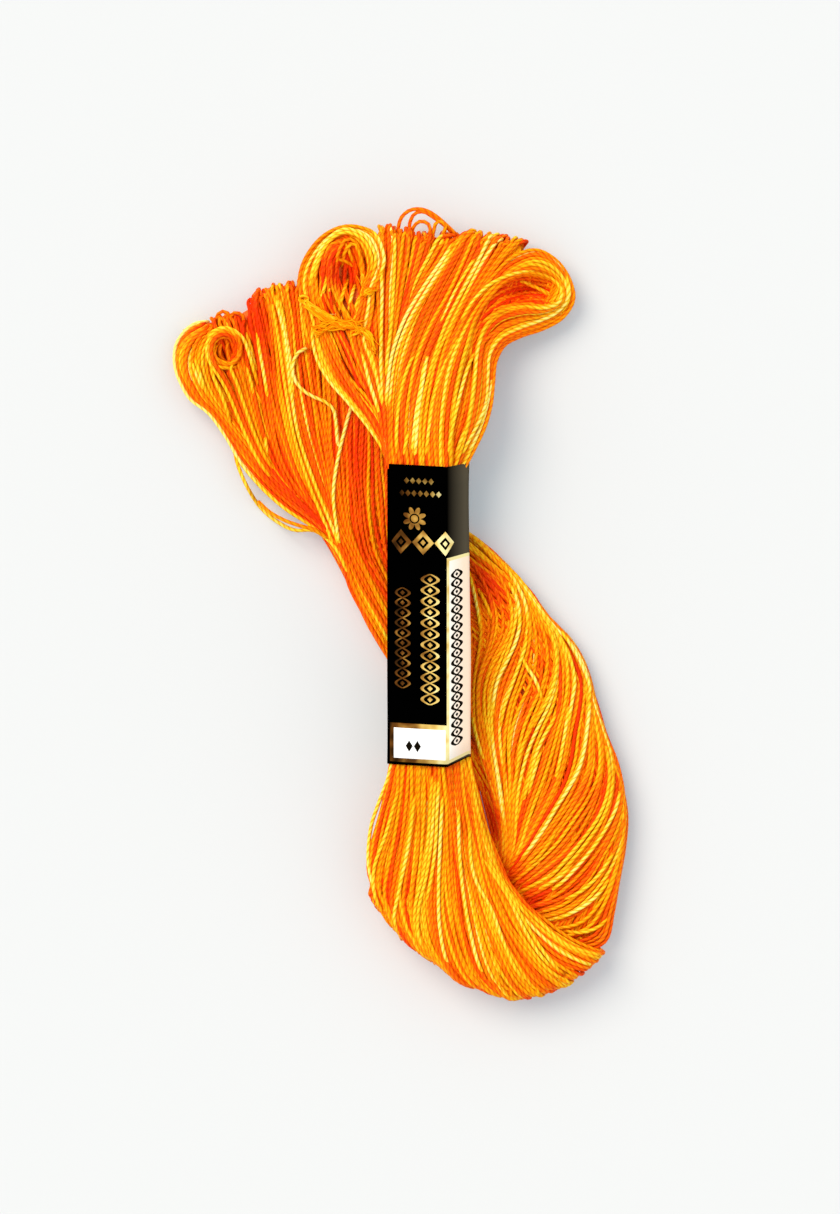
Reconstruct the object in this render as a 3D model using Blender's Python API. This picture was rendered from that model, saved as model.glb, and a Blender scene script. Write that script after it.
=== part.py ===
"""Skein of variegated embroidery floss, lying on a table.

A long hank of thread is folded once, a paper band holds the upper half, and the two looped ends
spread into fans. Lengths in the tables are millimetres, seen from above: x right, y up, z height.
"""

import math

import bmesh
import bpy
import numpy as np
from mathutils import Vector
from mathutils.bvhtree import BVHTree

MM = 0.001

# Hank
RING_TOP = 30  # points across the side that faces the viewer
RING_BACK = 10  # points across the hidden side
FAN_STATION = 2.2  # distance between sections in the looped ends
LEG_STATION = 3.5  # distance between sections elsewhere
FAN_SPANS = 4  # rows that a looped end takes up
RIM_ROUND = 3.0  # rounding of the looped ends
PLUMP = 3.2  # 2 makes an elliptic section, more makes it boxier
RIDGES = 7  # bundles of thread that stand out across the width
RIDGE_HEIGHT = 0.42
SCALLOP = 0.9  # how far the bundles stagger at a looped end
FLOOR_CUT = 0.25  # depth of the flat spots that the skein rests on

# Paper band
PAPER = 0.35
BAND_GAP = 0.3
BAND_TOP = 30.5
BAND_FOOT = -32.2
BAND_STATIONS = 5
LAP = (0.82, 0.91)  # share of the way round, on the hidden side, where the glued lap lies

# Threads that lie loose
THREAD = 0.7
TIE = 1.1
THREAD_GAP = 0.32
THREAD_STEP = 1.8

# Columns of the next two tables, after each section's name: where its left edge, middle and
# right edge lie seen from above, their heights, its thickness, how far the paper presses its
# right shoulder, how far its bundles stand out, and the share of the half inside the fold.
LX, LY, MX, MY, RX, RY, LZ, MZ, RZ, THICK, CREASE, RIDGE, INNER = range(13)

# One row per section, from the upper looped end, through the band, to the fold.
UPPER = (
    ("rim", -20.1, 68.9, 8.7, 81.5, 36.9, 68.2, 10.0, 5.6, 3.7, 6.6, 0, 1.0, 1),
    ("lobes", -20.1, 63.4, 8.3, 74.3, 33.9, 62.6, 10.3, 5.4, 4.0, 7.8, 0, 1.0, 1),
    ("shoulder", -17.3, 56.1, 8.1, 66.4, 27.2, 58.8, 10.8, 6.8, 5.2, 7.8, 0, 1.0, 1),
    ("neck_a", -13.3, 48.3, 7.5, 57.5, 20.5, 55.0, 11.3, 8.8, 8.2, 7.8, 0, 1.0, 1),
    ("neck_b", -8.5, 42.8, 6.8, 48.3, 19.2, 49.1, 11.9, 10.6, 10.2, 8.0, 0, 0.9, 1),
    ("neck_c", -4.5, 38.0, 6.4, 39.5, 18.2, 41.6, 12.6, 12.2, 12.0, 8.3, 0.2, 0.7, 1),
    ("neck_d", -2.2, 33.6, 6.2, 33.8, 15.6, 34.4, 13.1, 13.1, 13.0, 8.5, 0.7, 0.4, 1),
    ("band_top", -1.6, 30.4, 6.2, 30.4, 14.1, 30.4, 13.2, 13.2, 13.2, 8.5, 1, 0.2, 1),
    ("band_in", -1.6, 26.4, 6.2, 26.4, 14.1, 26.4, 13.2, 13.2, 13.2, 8.5, 1, 0.2, 1),
    ("band_out", -1.6, -27.9, 6.4, -27.9, 14.4, -27.9, 13.2, 13.2, 13.2, 8.5, 1, 0.2, 1),
    ("band_foot", -1.6, -31.9, 6.4, -32.1, 14.4, -31.5, 13.2, 13.2, 13.2, 8.5, 1, 0.2, 1),
    ("leg_a", -3.3, -38.2, 7.5, -38.9, 16.7, -38.6, 11.9, 12.1, 11.9, 8.0, 0.3, 0.6, 1),
    ("leg_b", -5.8, -47.2, 9.1, -48.7, 19.2, -48.1, 10.2, 10.7, 10.3, 7.2, 0, 0.9, 1),
    ("leg_c", -6.8, -53.5, 11.2, -60.3, 23.8, -56.9, 9.5, 9.9, 9.6, 6.5, 0, 1.0, 0.9),
    ("leg_d", -6.6, -55.4, 14.0, -69.7, 31.6, -65.3, 9.4, 9.5, 9.3, 6.0, 0, 1.0, 0.8),
    ("fold_top", -6.2, -57.2, 16.7, -74.3, 39.8, -70.1, 9.1, 9.3, 8.9, 5.8, 0, 1.0, 0.6),
    ("fold_a", -5.8, -58.1, 18.2, -76.2, 42.5, -70.8, 8.2, 8.4, 8.0, 5.6, 0, 0.9, 0.45),
    ("fold", -5.4, -58.6, 18.4, -77.1, 43.6, -70.3, 6.1, 6.15, 6.1, 5.5, 0, 0.8, 0.4),
    ("fold_b", -4.5, -58.4, 18.6, -76.2, 43.6, -69.3, 4.0, 3.9, 4.2, 5.4, 0, 0.6, 0.45),
    ("under", -2.6, -57.1, 19.2, -73.9, 43.2, -67.8, 3.0, 2.95, 3.4, 5.0, 0, 0.3, 0.6),
    ("tail", 1.4, -55.2, 20.7, -70.3, 41.7, -65.1, 2.9, 2.9, 3.2, 4.0, 0, 0.0, 0.7),
)

# One row per section, from inside the fold, up the right leg, beneath the band, to the lower
# looped end. Its left edge is the one nearer the band.
LOWER = (
    ("root", -0.1, -56.3, 19.6, -72.7, 44.2, -67.8, 2.8, 2.8, 3.8, 3.4, 0, 0.0, 1),
    ("under", 5.6, -54.6, 24.3, -68.0, 45.9, -63.2, 3.2, 3.2, 4.8, 6.4, 0, 0.6, 1),
    ("crease", 13.3, -52.3, 30.1, -60.7, 47.1, -55.6, 3.4, 3.4, 4.6, 6.9, 0, 1.0, 1),
    ("leg_a", 19.6, -48.9, 33.9, -51.4, 47.8, -47.0, 3.8, 3.8, 4.1, 7.6, 0, 1.0, 1),
    ("leg_b", 18.8, -42.4, 33.1, -42.6, 47.6, -39.3, 4.0, 4.0, 4.0, 8.0, 0, 1.0, 1),
    ("leg_c", 15.9, -35.5, 30.3, -34.6, 45.5, -31.3, 4.0, 4.0, 4.0, 8.0, 0, 1.0, 1),
    ("leg_d", 11.2, -28.8, 25.9, -26.2, 41.7, -19.9, 3.9, 3.9, 3.9, 7.6, 0, 0.9, 1),
    ("cross_a", 6.2, -22.5, 20.7, -17.8, 36.0, -8.2, 3.7, 3.7, 3.7, 7.3, 0, 0.7, 1),
    ("cross_b", 1.4, -16.2, 14.6, -9.9, 28.2, 3.6, 3.6, 3.6, 3.6, 7.1, 0, 0.6, 1),
    ("cross_c", -2.2, -10.3, 8.7, -3.6, 21.3, 10.7, 3.6, 3.6, 3.6, 7.1, 0, 0.6, 1),
    ("cross_d", -5.6, -4.6, 2.8, 2.1, 14.6, 16.2, 3.6, 3.6, 3.6, 7.1, 0, 0.6, 1),
    ("cross_e", -9.1, 2.7, -2.2, 8.6, 8.7, 21.2, 3.6, 3.6, 3.6, 7.1, 0, 0.7, 1),
    ("cross_f", -12.7, 10.7, -7.7, 13.7, 4.7, 25.8, 3.6, 3.6, 3.5, 7.1, 0, 0.8, 1),
    ("fan_a", -16.5, 17.2, -12.3, 20.6, 0.7, 30.0, 3.5, 3.5, 3.4, 7.0, 0, 1.0, 1),
    ("fan_b", -23.2, 23.7, -17.1, 28.3, -2.8, 36.3, 3.4, 3.4, 3.2, 6.7, 0, 1.0, 1),
    ("fan_c", -30.3, 30.0, -21.5, 37.2, -5.8, 43.7, 3.3, 3.3, 3.1, 6.5, 0, 1.0, 1),
    ("fan_d", -36.0, 36.3, -24.7, 45.6, -8.1, 51.0, 3.3, 3.3, 3.0, 6.4, 0, 1.0, 1),
    ("fan_e", -41.3, 42.2, -27.2, 53.5, -9.8, 58.4, 3.5, 3.3, 2.9, 6.6, 0, 1.0, 1),
    ("lobe", -45.9, 47.2, -29.5, 61.1, -11.0, 65.7, 3.8, 3.3, 2.8, 7.0, 0, 1.0, 1),
    ("rim", -47.8, 54.4, -31.4, 67.6, -12.3, 73.7, 3.6, 3.2, 2.8, 6.6, 0, 1.0, 1),
)

# Where the outline of a looped end bulges or draws in: which end, place across from -1 on the
# left to 1 on the right, half width on that scale, and how far it moves outwards.
LOBES = (
    ("upper", -0.80, 0.20, 5.0),
    ("upper", -0.33, 0.14, 1.0),
    ("upper", 0.82, 0.30, 4.0),
    ("lower", -0.75, 0.20, 1.5),
    ("lower", -0.12, 0.10, -4.0),
)

# Openings that show inside a turn of the loops: centre, half sizes, tilt in degrees, depth,
# and how far the threads round it stand up.
EYES = (
    ("right_turn", 28.2, 68.4, 8.2, 3.4, 14, 4.2, 1.1),
    ("left_arch", -9.6, 71.6, 4.6, 6.0, -10, 3.6, 1.0),
    ("curl", -35.8, 54.6, 2.6, 3.2, 20, 3.4, 1.2),
)

# Bundles that stand up and grooves that part them, each along one line: ends, half width, rise.
FOLDS = (
    ("tied_bundle", -11.5, 59.5, -2.6, 35.5, 2.6, 1.1),
    ("tie_pinch", -20.0, 65.4, -5.2, 57.6, 1.3, -0.9),
    ("centre_groove", 0.6, 61.0, -1.4, 42.0, 1.6, -1.0),
    ("ear_groove", 21.0, 62.5, 12.0, 44.0, 1.8, -0.8),
    ("lobe_groove", -33.4, 60.5, -30.5, 45.0, 1.5, -1.2),
)

# Where the tie and the loose end lie, seen from above, from one free end to the other.
TIE_PATH = (
    (-20.4, 66.4),
    (-17.9, 63.9),
    (-15.2, 61.8),
    (-12.1, 60.5),
    (-8.2, 59.6),
    (-4.9, 57.3),
)
LOOSE_PATH = (
    (-19.3, 55.8),
    (-21.0, 54.9),
    (-22.3, 51.2),
    (-21.7, 48.9),
    (-20.2, 47.0),
    (-17.8, 45.5),
    (-15.3, 44.4),
    (-13.8, 43.0),
    (-13.2, 40.4),
    (-12.9, 36.6),
    (-12.0, 31.6),
)


def clear_scene():
    for obj in list(bpy.data.objects):
        bpy.data.objects.remove(obj)


def smooth_rows(values, at):
    """Values of the table's columns at fractional row numbers, on a smooth curve through the
    rows that allows for rows lying unevenly far apart."""
    last = len(values) - 1
    places = values[:, (MX, MY, MZ)] if values.shape[1] > MZ else values
    gaps = np.linalg.norm(np.diff(places, axis=0), axis=1)[:, None]
    slopes = np.diff(values, axis=0) / gaps
    inner = (gaps[:-1] * slopes[1:] + gaps[1:] * slopes[:-1]) / (gaps[:-1] + gaps[1:])
    slopes = np.concatenate([slopes[:1], inner, slopes[-1:]])
    i = np.clip(np.floor(at).astype(int), 0, last - 1)
    f = (at - i)[:, None]
    rise = values[i + 1] - values[i]
    start, end = slopes[i] * gaps[i], slopes[i + 1] * gaps[i]
    eased = f * f * (3 - 2 * f)
    return values[i] + rise * eased + start * f * (1 - f) ** 2 - end * f * f * (1 - f)


def middle_sheet(rows, across):
    """Points of the sheet halfway through the hank: one line per section, one point per u."""
    u = across[None, :, None]
    left = rows[:, None, (LX, LY, LZ)]
    middle = rows[:, None, (MX, MY, MZ)]
    right = rows[:, None, (RX, RY, RZ)]
    return left * u * (u - 1) / 2 + middle * (1 - u * u) + right * u * (u + 1) / 2


def section_ring(crease):
    """(u, w) round one section, anticlockwise from its right edge; w is the share of half the
    thickness. The crease flattens one shoulder, as the folded paper presses it."""
    top = np.cos(np.linspace(0, math.pi, RING_TOP + 1))
    top = 0.55 * top + 0.45 * np.linspace(1, -1, RING_TOP + 1)
    back = np.cos(np.linspace(math.pi, 2 * math.pi, RING_BACK + 1))
    u = np.concatenate([top, back[1:-1]])
    full = (1 - np.abs(u) ** PLUMP) ** (1 / PLUMP)
    shoulder = 1 - 0.75 * crease * np.clip((u - 0.45) / 0.55, 0, 1)
    above = np.arange(len(u)) <= RING_TOP
    return u, np.where(above, full * shoulder, -full)


def bundles(u, along):
    """Rounded crests and sharp grooves that follow the thread: 1 on a crest, 0 in a groove."""
    drift = 0.1 * np.sin(0.61 * along) + 0.05 * np.sin(1.7 * along + 1.0)
    wave = np.abs(np.sin(math.pi * (RIDGES / 2 * (u + drift) + 0.35 * np.sin(2.3 * u))))
    return wave * (0.75 + 0.25 * np.sin(3.1 * u + 0.8 * along))


def stations(values, closed_start, closed_end):
    """Row numbers of the sections, evenly spaced along the thread, and each one's roundness:
    closer together and shrinking where an end is rounded."""
    middle = values[:, (MX, MY, MZ)]
    steps = np.linalg.norm(np.diff(middle, axis=0), axis=1)
    at = []
    for i, length in enumerate(steps):
        from_end = i if closed_start else len(steps) - 1 - i
        in_fan = from_end < FAN_SPANS
        count = max(2, round(length / (FAN_STATION if in_fan else LEG_STATION)))
        at += list(i + np.arange(count) / count)
    at.append(len(steps))
    at = np.array(at)
    taper = np.ones(len(at))
    turn = np.radians((14, 34, 58))
    for closed, end, length in ((closed_start, 0, steps[0]), (closed_end, len(steps), steps[-1])):
        if not closed:
            continue
        reach = RIM_ROUND / length
        keep = np.abs(at - end) > reach * 0.8
        inward = 1 if end == 0 else -1
        extra = end + inward * reach * (1 - np.cos(turn))
        at = np.concatenate([at[keep], extra])
        taper = np.concatenate([taper[keep], np.sin(turn)])
        order = np.argsort(at)
        at, taper = at[order], taper[order]
    return at, taper


def lobe_push(end, u, rows_away):
    """How far the outline of a looped end moves outwards at each u."""
    push = np.zeros(len(u))
    for which, at, half, rise in LOBES:
        if which == end:
            push += rise * np.exp(-(((u - at) / half) ** 2))
    return push * math.exp(-1.1 * rows_away)


def loft(name, table, end, closed_start, closed_end, facing):
    """A closed mesh through the table's sections. Facing is 1 where the side that the viewer
    sees is the one the thread has on its upper face, and -1 after the fold."""
    values = np.array([row[1:] for row in table], float)
    at, taper = stations(values, closed_start, closed_end)
    rows = smooth_rows(values, at)
    rings = []
    for i, row in enumerate(rows):
        u, w = section_ring(row[CREASE])
        w = np.where(w < 0, w * row[INNER], w) * facing
        sheet = middle_sheet(rows[i : i + 1], u)[0]
        nearby = smooth_rows(values, np.clip(at[i] + np.array((-0.05, 0.05)), 0, len(values) - 1))
        before, after = middle_sheet(nearby, u)
        side = middle_sheet(rows[i : i + 1], u + 0.02)[0] - middle_sheet(rows[i : i + 1], u - 0.02)[0]
        normal = np.cross(after - before, side)
        normal /= np.linalg.norm(normal, axis=1)[:, None]
        crest = bundles(u, at[i]) * row[RIDGE]
        rows_away = at[i] if closed_start else len(values) - 1 - at[i]
        stagger = (1 - taper[i]) * SCALLOP * (crest - 0.5) * (1 - u * u)
        stagger += lobe_push(end, u, rows_away) * (1 - u**6)
        along = after - before
        along /= np.linalg.norm(along, axis=1)[:, None]
        outward = -along if closed_start else along
        rise = 0.5 * row[THICK] * taper[i] * w + RIDGE_HEIGHT * (crest - 0.5) * w * taper[i]
        rings.append(sheet + normal * rise[:, None] + outward * stagger[:, None])
    return mesh_from_rings(name, np.array(rings))


def mesh_from_rings(name, rings):
    """A closed mesh from rings of points, with a strip of quads across each end."""
    count, size = rings.shape[:2]
    work = bmesh.new()
    points = [[work.verts.new(Vector(p * MM)) for p in ring] for ring in rings]
    for low, high in zip(points, points[1:]):
        for j in range(size):
            k = (j + 1) % size
            work.faces.new((low[j], low[k], high[k], high[j]))
    across = section_ring(0)[0]
    for ring in (points[0], points[-1]):
        cap_end(work, ring, across)
    bmesh.ops.recalc_face_normals(work, faces=work.faces[:])
    mesh = bpy.data.meshes.new(name)
    work.to_mesh(mesh)
    work.free()
    obj = bpy.data.objects.new(name, mesh)
    bpy.context.scene.collection.objects.link(obj)
    return obj


def cap_end(work, ring, across):
    """Joins the two sides of an end ring, walking from its right edge to its left."""
    order = list(range(len(ring)))
    upper = order[: RING_TOP + 1]
    lower = [0] + order[:RING_TOP:-1] + [RING_TOP]
    i = j = 0
    while i < len(upper) - 1 or j < len(lower) - 1:
        next_up = across[upper[i + 1]] if i < len(upper) - 1 else -2
        next_low = across[lower[j + 1]] if j < len(lower) - 1 else -2
        if next_up >= next_low:
            corners = (upper[i], upper[i + 1], lower[j])
            i += 1
        else:
            corners = (upper[i], lower[j + 1], lower[j])
            j += 1
        if len(set(corners)) == 3:
            work.faces.new([ring[k] for k in corners])


def press_eyes_and_folds(obj):
    """Sinks the eyes, raises the loops round them, and lifts or parts the bundles, on the side
    that faces up."""
    mesh = obj.data
    normals = [v.normal.z for v in mesh.vertices]
    for vert, up in zip(mesh.vertices, normals):
        if up < 0.15:
            continue
        x, y = vert.co.x / MM, vert.co.y / MM
        lift = 0.0
        for _, cx, cy, rx, ry, tilt, depth, collar in EYES:
            c, s = math.cos(math.radians(tilt)), math.sin(math.radians(tilt))
            across = ((x - cx) * c + (y - cy) * s) / rx
            along = ((y - cy) * c - (x - cx) * s) / ry
            r = math.hypot(across, along)
            if r < 1:
                lift -= depth * (1 - r * r) ** 2
            lift += collar * math.exp(-(((r - 1.35) / 0.35) ** 2))
        for _, x1, y1, x2, y2, half, rise in FOLDS:
            dx, dy = x2 - x1, y2 - y1
            t = ((x - x1) * dx + (y - y1) * dy) / (dx * dx + dy * dy)
            off = math.hypot(x - x1 - t * dx, y - y1 - t * dy)
            ends = min(1.0, max(0.0, 4 * t)) * min(1.0, max(0.0, 4 * (1 - t)))
            lift += rise * ends * math.exp(-((off / half) ** 2))
        vert.co.z += lift * MM * min(1.0, 2 * up)


def add_boolean(obj, other, operation):
    modifier = obj.modifiers.new(operation.lower() + "_" + other.name, "BOOLEAN")
    modifier.object = other
    modifier.operation = operation
    modifier.solver = "EXACT"
    modifier.use_self = operation == "UNION"


def hide_as_helper(obj, collection):
    for held in list(obj.users_collection):
        held.objects.unlink(obj)
    collection.objects.link(obj)
    obj.hide_render = True
    obj.display_type = "WIRE"


def table_top():
    """The slab that cuts the skein flat where it rests."""
    mesh = bpy.data.meshes.new("table_top")
    work = bmesh.new()
    bmesh.ops.create_cube(work, size=1)
    for vert in work.verts:
        vert.co = Vector((vert.co.x * 0.3, vert.co.y * 0.3, (vert.co.z - 0.5) * 0.02 + FLOOR_CUT * MM))
    work.to_mesh(mesh)
    work.free()
    obj = bpy.data.objects.new("table_top", mesh)
    bpy.context.scene.collection.objects.link(obj)
    return obj


def surface_of(obj):
    """The object's surface as a search tree, with its modifiers applied."""
    graph = bpy.context.evaluated_depsgraph_get()
    evaluated = obj.evaluated_get(graph)
    mesh = evaluated.to_mesh()
    tree = BVHTree.FromPolygons([v.co for v in mesh.vertices], [p.vertices for p in mesh.polygons])
    evaluated.to_mesh_clear()
    return tree


def spaced(path, step):
    """Points about a step apart along a smooth curve through a path seen from above."""
    path = np.array(path, float)
    fine = smooth_rows(path, np.linspace(0, len(path) - 1, 40 * len(path)))
    run = np.concatenate([[0], np.cumsum(np.linalg.norm(np.diff(fine, axis=0), axis=1))])
    at = np.linspace(0, run[-1], max(2, round(run[-1] / step) + 1))
    return np.stack([np.interp(at, run, fine[:, k]) for k in range(2)], axis=1)


def resting_heights(points, tree, radius):
    """Height of a thread's centre at each point, so that it clears what lies beneath it."""
    heights = []
    clear = radius + THREAD_GAP
    for x, y in points:
        best = clear
        for ring in (0, 0.5, 1.0):
            for k in range(8):
                a = math.tau * k / 8
                reach = ring * clear
                start = Vector((x + reach * math.cos(a), y + reach * math.sin(a), 60)) * MM
                hit = tree.ray_cast(start, Vector((0, 0, -1)))[0]
                if hit is not None:
                    best = max(best, hit.z / MM + math.sqrt(max(0.0, clear**2 - reach**2)))
        heights.append(best)
    heights = np.array(heights)
    for _ in range(3):
        padded = np.concatenate([heights[:1], heights, heights[-1:]])
        heights = np.maximum(heights, (padded[:-2] + padded[2:]) / 2)
    return heights + 0.05


def thread(name, path, diameter, tree):
    """A round thread laid over the skein, its ends closed."""
    points = spaced(path, THREAD_STEP)
    heights = resting_heights(points, tree, diameter / 2)
    curve = bpy.data.curves.new(name, "CURVE")
    curve.dimensions = "3D"
    curve.bevel_depth = diameter / 2 * MM
    curve.bevel_resolution = 2
    curve.use_fill_caps = True
    spline = curve.splines.new("POLY")
    spline.points.add(len(points) - 1)
    for point, (x, y), z in zip(spline.points, points, heights):
        point.co = (x * MM, y * MM, z * MM, 1)
    obj = bpy.data.objects.new(name, curve)
    bpy.context.scene.collection.objects.link(obj)
    return obj


def offset_ring(ring, distance):
    """A closed outline in x and z, moved outwards; distance may differ from point to point."""
    ahead = np.roll(ring, -1, axis=0) - ring
    behind = ring - np.roll(ring, 1, axis=0)
    ahead /= np.linalg.norm(ahead, axis=1)[:, None]
    behind /= np.linalg.norm(behind, axis=1)[:, None]
    along = ahead + behind
    along /= np.linalg.norm(along, axis=1)[:, None]
    outward = np.stack([along[:, 1], -along[:, 0]], axis=1)
    return ring + outward * np.broadcast_to(distance, len(ring))[:, None]


def paper_band():
    """A strip of paper folded round the front leg, its ends glued in a lap underneath."""
    values = np.array([row[1:] for row in UPPER], float)
    names = [row[0] for row in UPPER]
    first, last = names.index("band_top"), names.index("band_foot")
    shares = np.linspace(0, 1, BAND_STATIONS)
    rows = smooth_rows(values, first + shares * (last - first))
    u, w = section_ring(1.0)
    count = len(u)
    share = np.arange(count) / count
    lap = ((share >= LAP[0]) & (share <= LAP[1])) * PAPER
    work = bmesh.new()
    inner, outer = [], []
    for row, s in zip(rows, shares):
        y = BAND_TOP + (BAND_FOOT - BAND_TOP) * s
        sheet = middle_sheet(row[None, :], u)[0]
        ring = np.stack([sheet[:, 0], sheet[:, 2] + 0.5 * row[THICK] * w], axis=1)
        inside = offset_ring(ring, BAND_GAP + 0.12)
        outside = offset_ring(inside, PAPER + lap)
        inner.append([work.verts.new(Vector((x, y, z)) * MM) for x, z in inside])
        outer.append([work.verts.new(Vector((x, y, z)) * MM) for x, z in outside])
    for rings, turned in ((inner, False), (outer, True)):
        for low, high in zip(rings, rings[1:]):
            for j in range(count):
                k = (j + 1) % count
                corners = (low[j], low[k], high[k], high[j])
                work.faces.new(corners if turned else corners[::-1])
    for a, b in ((outer[0], inner[0]), (inner[-1], outer[-1])):
        for j in range(count):
            k = (j + 1) % count
            work.faces.new((a[j], b[j], b[k], a[k]))
    bmesh.ops.recalc_face_normals(work, faces=work.faces[:])
    mesh = bpy.data.meshes.new("paper_band")
    work.to_mesh(mesh)
    work.free()
    obj = bpy.data.objects.new("paper_band", mesh)
    bpy.context.scene.collection.objects.link(obj)
    return obj


def material(obj, name, colour, roughness):
    made = bpy.data.materials.new(name)
    made.use_nodes = True
    shader = made.node_tree.nodes["Principled BSDF"]
    shader.inputs["Base Color"].default_value = (*colour, 1)
    shader.inputs["Roughness"].default_value = roughness
    obj.data.materials.append(made)


def centre(objects):
    """Moves everything so that the box round it stands with its bottom centre on the origin."""
    bpy.context.view_layer.update()
    graph = bpy.context.evaluated_depsgraph_get()
    corners = []
    for obj in objects:
        evaluated = obj.evaluated_get(graph)
        mesh = evaluated.to_mesh()
        corners += [tuple(v.co) for v in mesh.vertices]
        evaluated.to_mesh_clear()
    corners = np.array(corners)
    low, high = corners.min(axis=0), corners.max(axis=0)
    return Vector((-(low[0] + high[0]) / 2, -(low[1] + high[1]) / 2, -low[2]))


def main():
    clear_scene()
    upper = loft("hank", UPPER, "upper", True, False, 1)
    lower = loft("hank_lower", LOWER, "lower", False, True, -1)
    for obj in (upper, lower):
        press_eyes_and_folds(obj)
    helpers = bpy.data.collections.new("cutters")
    bpy.context.scene.collection.children.link(helpers)
    floor = table_top()
    add_boolean(upper, lower, "UNION")
    add_boolean(upper, floor, "DIFFERENCE")
    for obj in (lower, floor):
        hide_as_helper(obj, helpers)
    bpy.context.view_layer.update()
    tree = surface_of(upper)
    band = paper_band()
    tie = thread("tie", TIE_PATH, TIE, tree)
    loose = thread("loose_end", LOOSE_PATH, THREAD, tree)
    material(upper, "thread", (0.95, 0.36, 0.02), 0.55)
    material(band, "band_paper", (0.01, 0.01, 0.012), 0.35)
    material(tie, "tie_thread", (0.95, 0.5, 0.04), 0.7)
    material(loose, "loose_thread", (0.95, 0.72, 0.2), 0.6)
    skein = bpy.data.collections.new("skein_of_embroidery_floss")
    bpy.context.scene.collection.children.link(skein)
    move = centre((upper, band, tie, loose))
    for obj in (upper, lower, floor, band, tie, loose):
        obj.location = move
    for obj in (upper, band, tie, loose):
        bpy.context.scene.collection.objects.unlink(obj)
        skein.objects.link(obj)


main()
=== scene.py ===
# %% [markdown]
# # A skein of embroidery floss
#
# A skein is one long thread wound into a loop, folded over once and held by a strip of printed
# paper. The packed part has it as one solid with a paper sleeve, a tie and a loose end. This
# lesson dresses that solid: every thread that shows becomes a strand of its own, laid along the
# solid's surface, so the weight, the size and the collision stay those of the packed part.

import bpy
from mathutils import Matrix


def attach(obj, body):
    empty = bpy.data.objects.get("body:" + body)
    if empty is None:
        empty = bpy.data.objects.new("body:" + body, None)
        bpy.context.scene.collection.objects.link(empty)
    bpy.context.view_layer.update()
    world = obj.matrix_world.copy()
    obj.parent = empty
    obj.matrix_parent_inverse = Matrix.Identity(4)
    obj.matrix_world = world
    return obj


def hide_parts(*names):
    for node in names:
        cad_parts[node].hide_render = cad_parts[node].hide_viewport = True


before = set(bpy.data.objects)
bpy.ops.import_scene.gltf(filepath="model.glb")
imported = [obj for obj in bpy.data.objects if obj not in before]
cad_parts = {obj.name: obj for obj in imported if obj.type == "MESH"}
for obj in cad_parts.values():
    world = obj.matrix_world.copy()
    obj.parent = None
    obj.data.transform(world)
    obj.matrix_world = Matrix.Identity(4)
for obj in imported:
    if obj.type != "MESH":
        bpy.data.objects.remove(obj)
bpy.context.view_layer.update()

import math

import bpy
import numpy as np

# %% [markdown]
# ## The wound form
#
# The form could be read off the packed mesh, but a mesh doesn't say which way the thread runs.
# So the hank is described once more as sections, each with a left edge, a middle and a right
# edge, in the order in which the thread passes them: from the upper looped end through the band
# and round the fold to the lower looped end. Lengths are millimetres seen from above. After the
# nine of the three points come the thickness, how far the paper creases the right side flat, and
# how much of the thickness is left on the side inside the fold.

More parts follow.
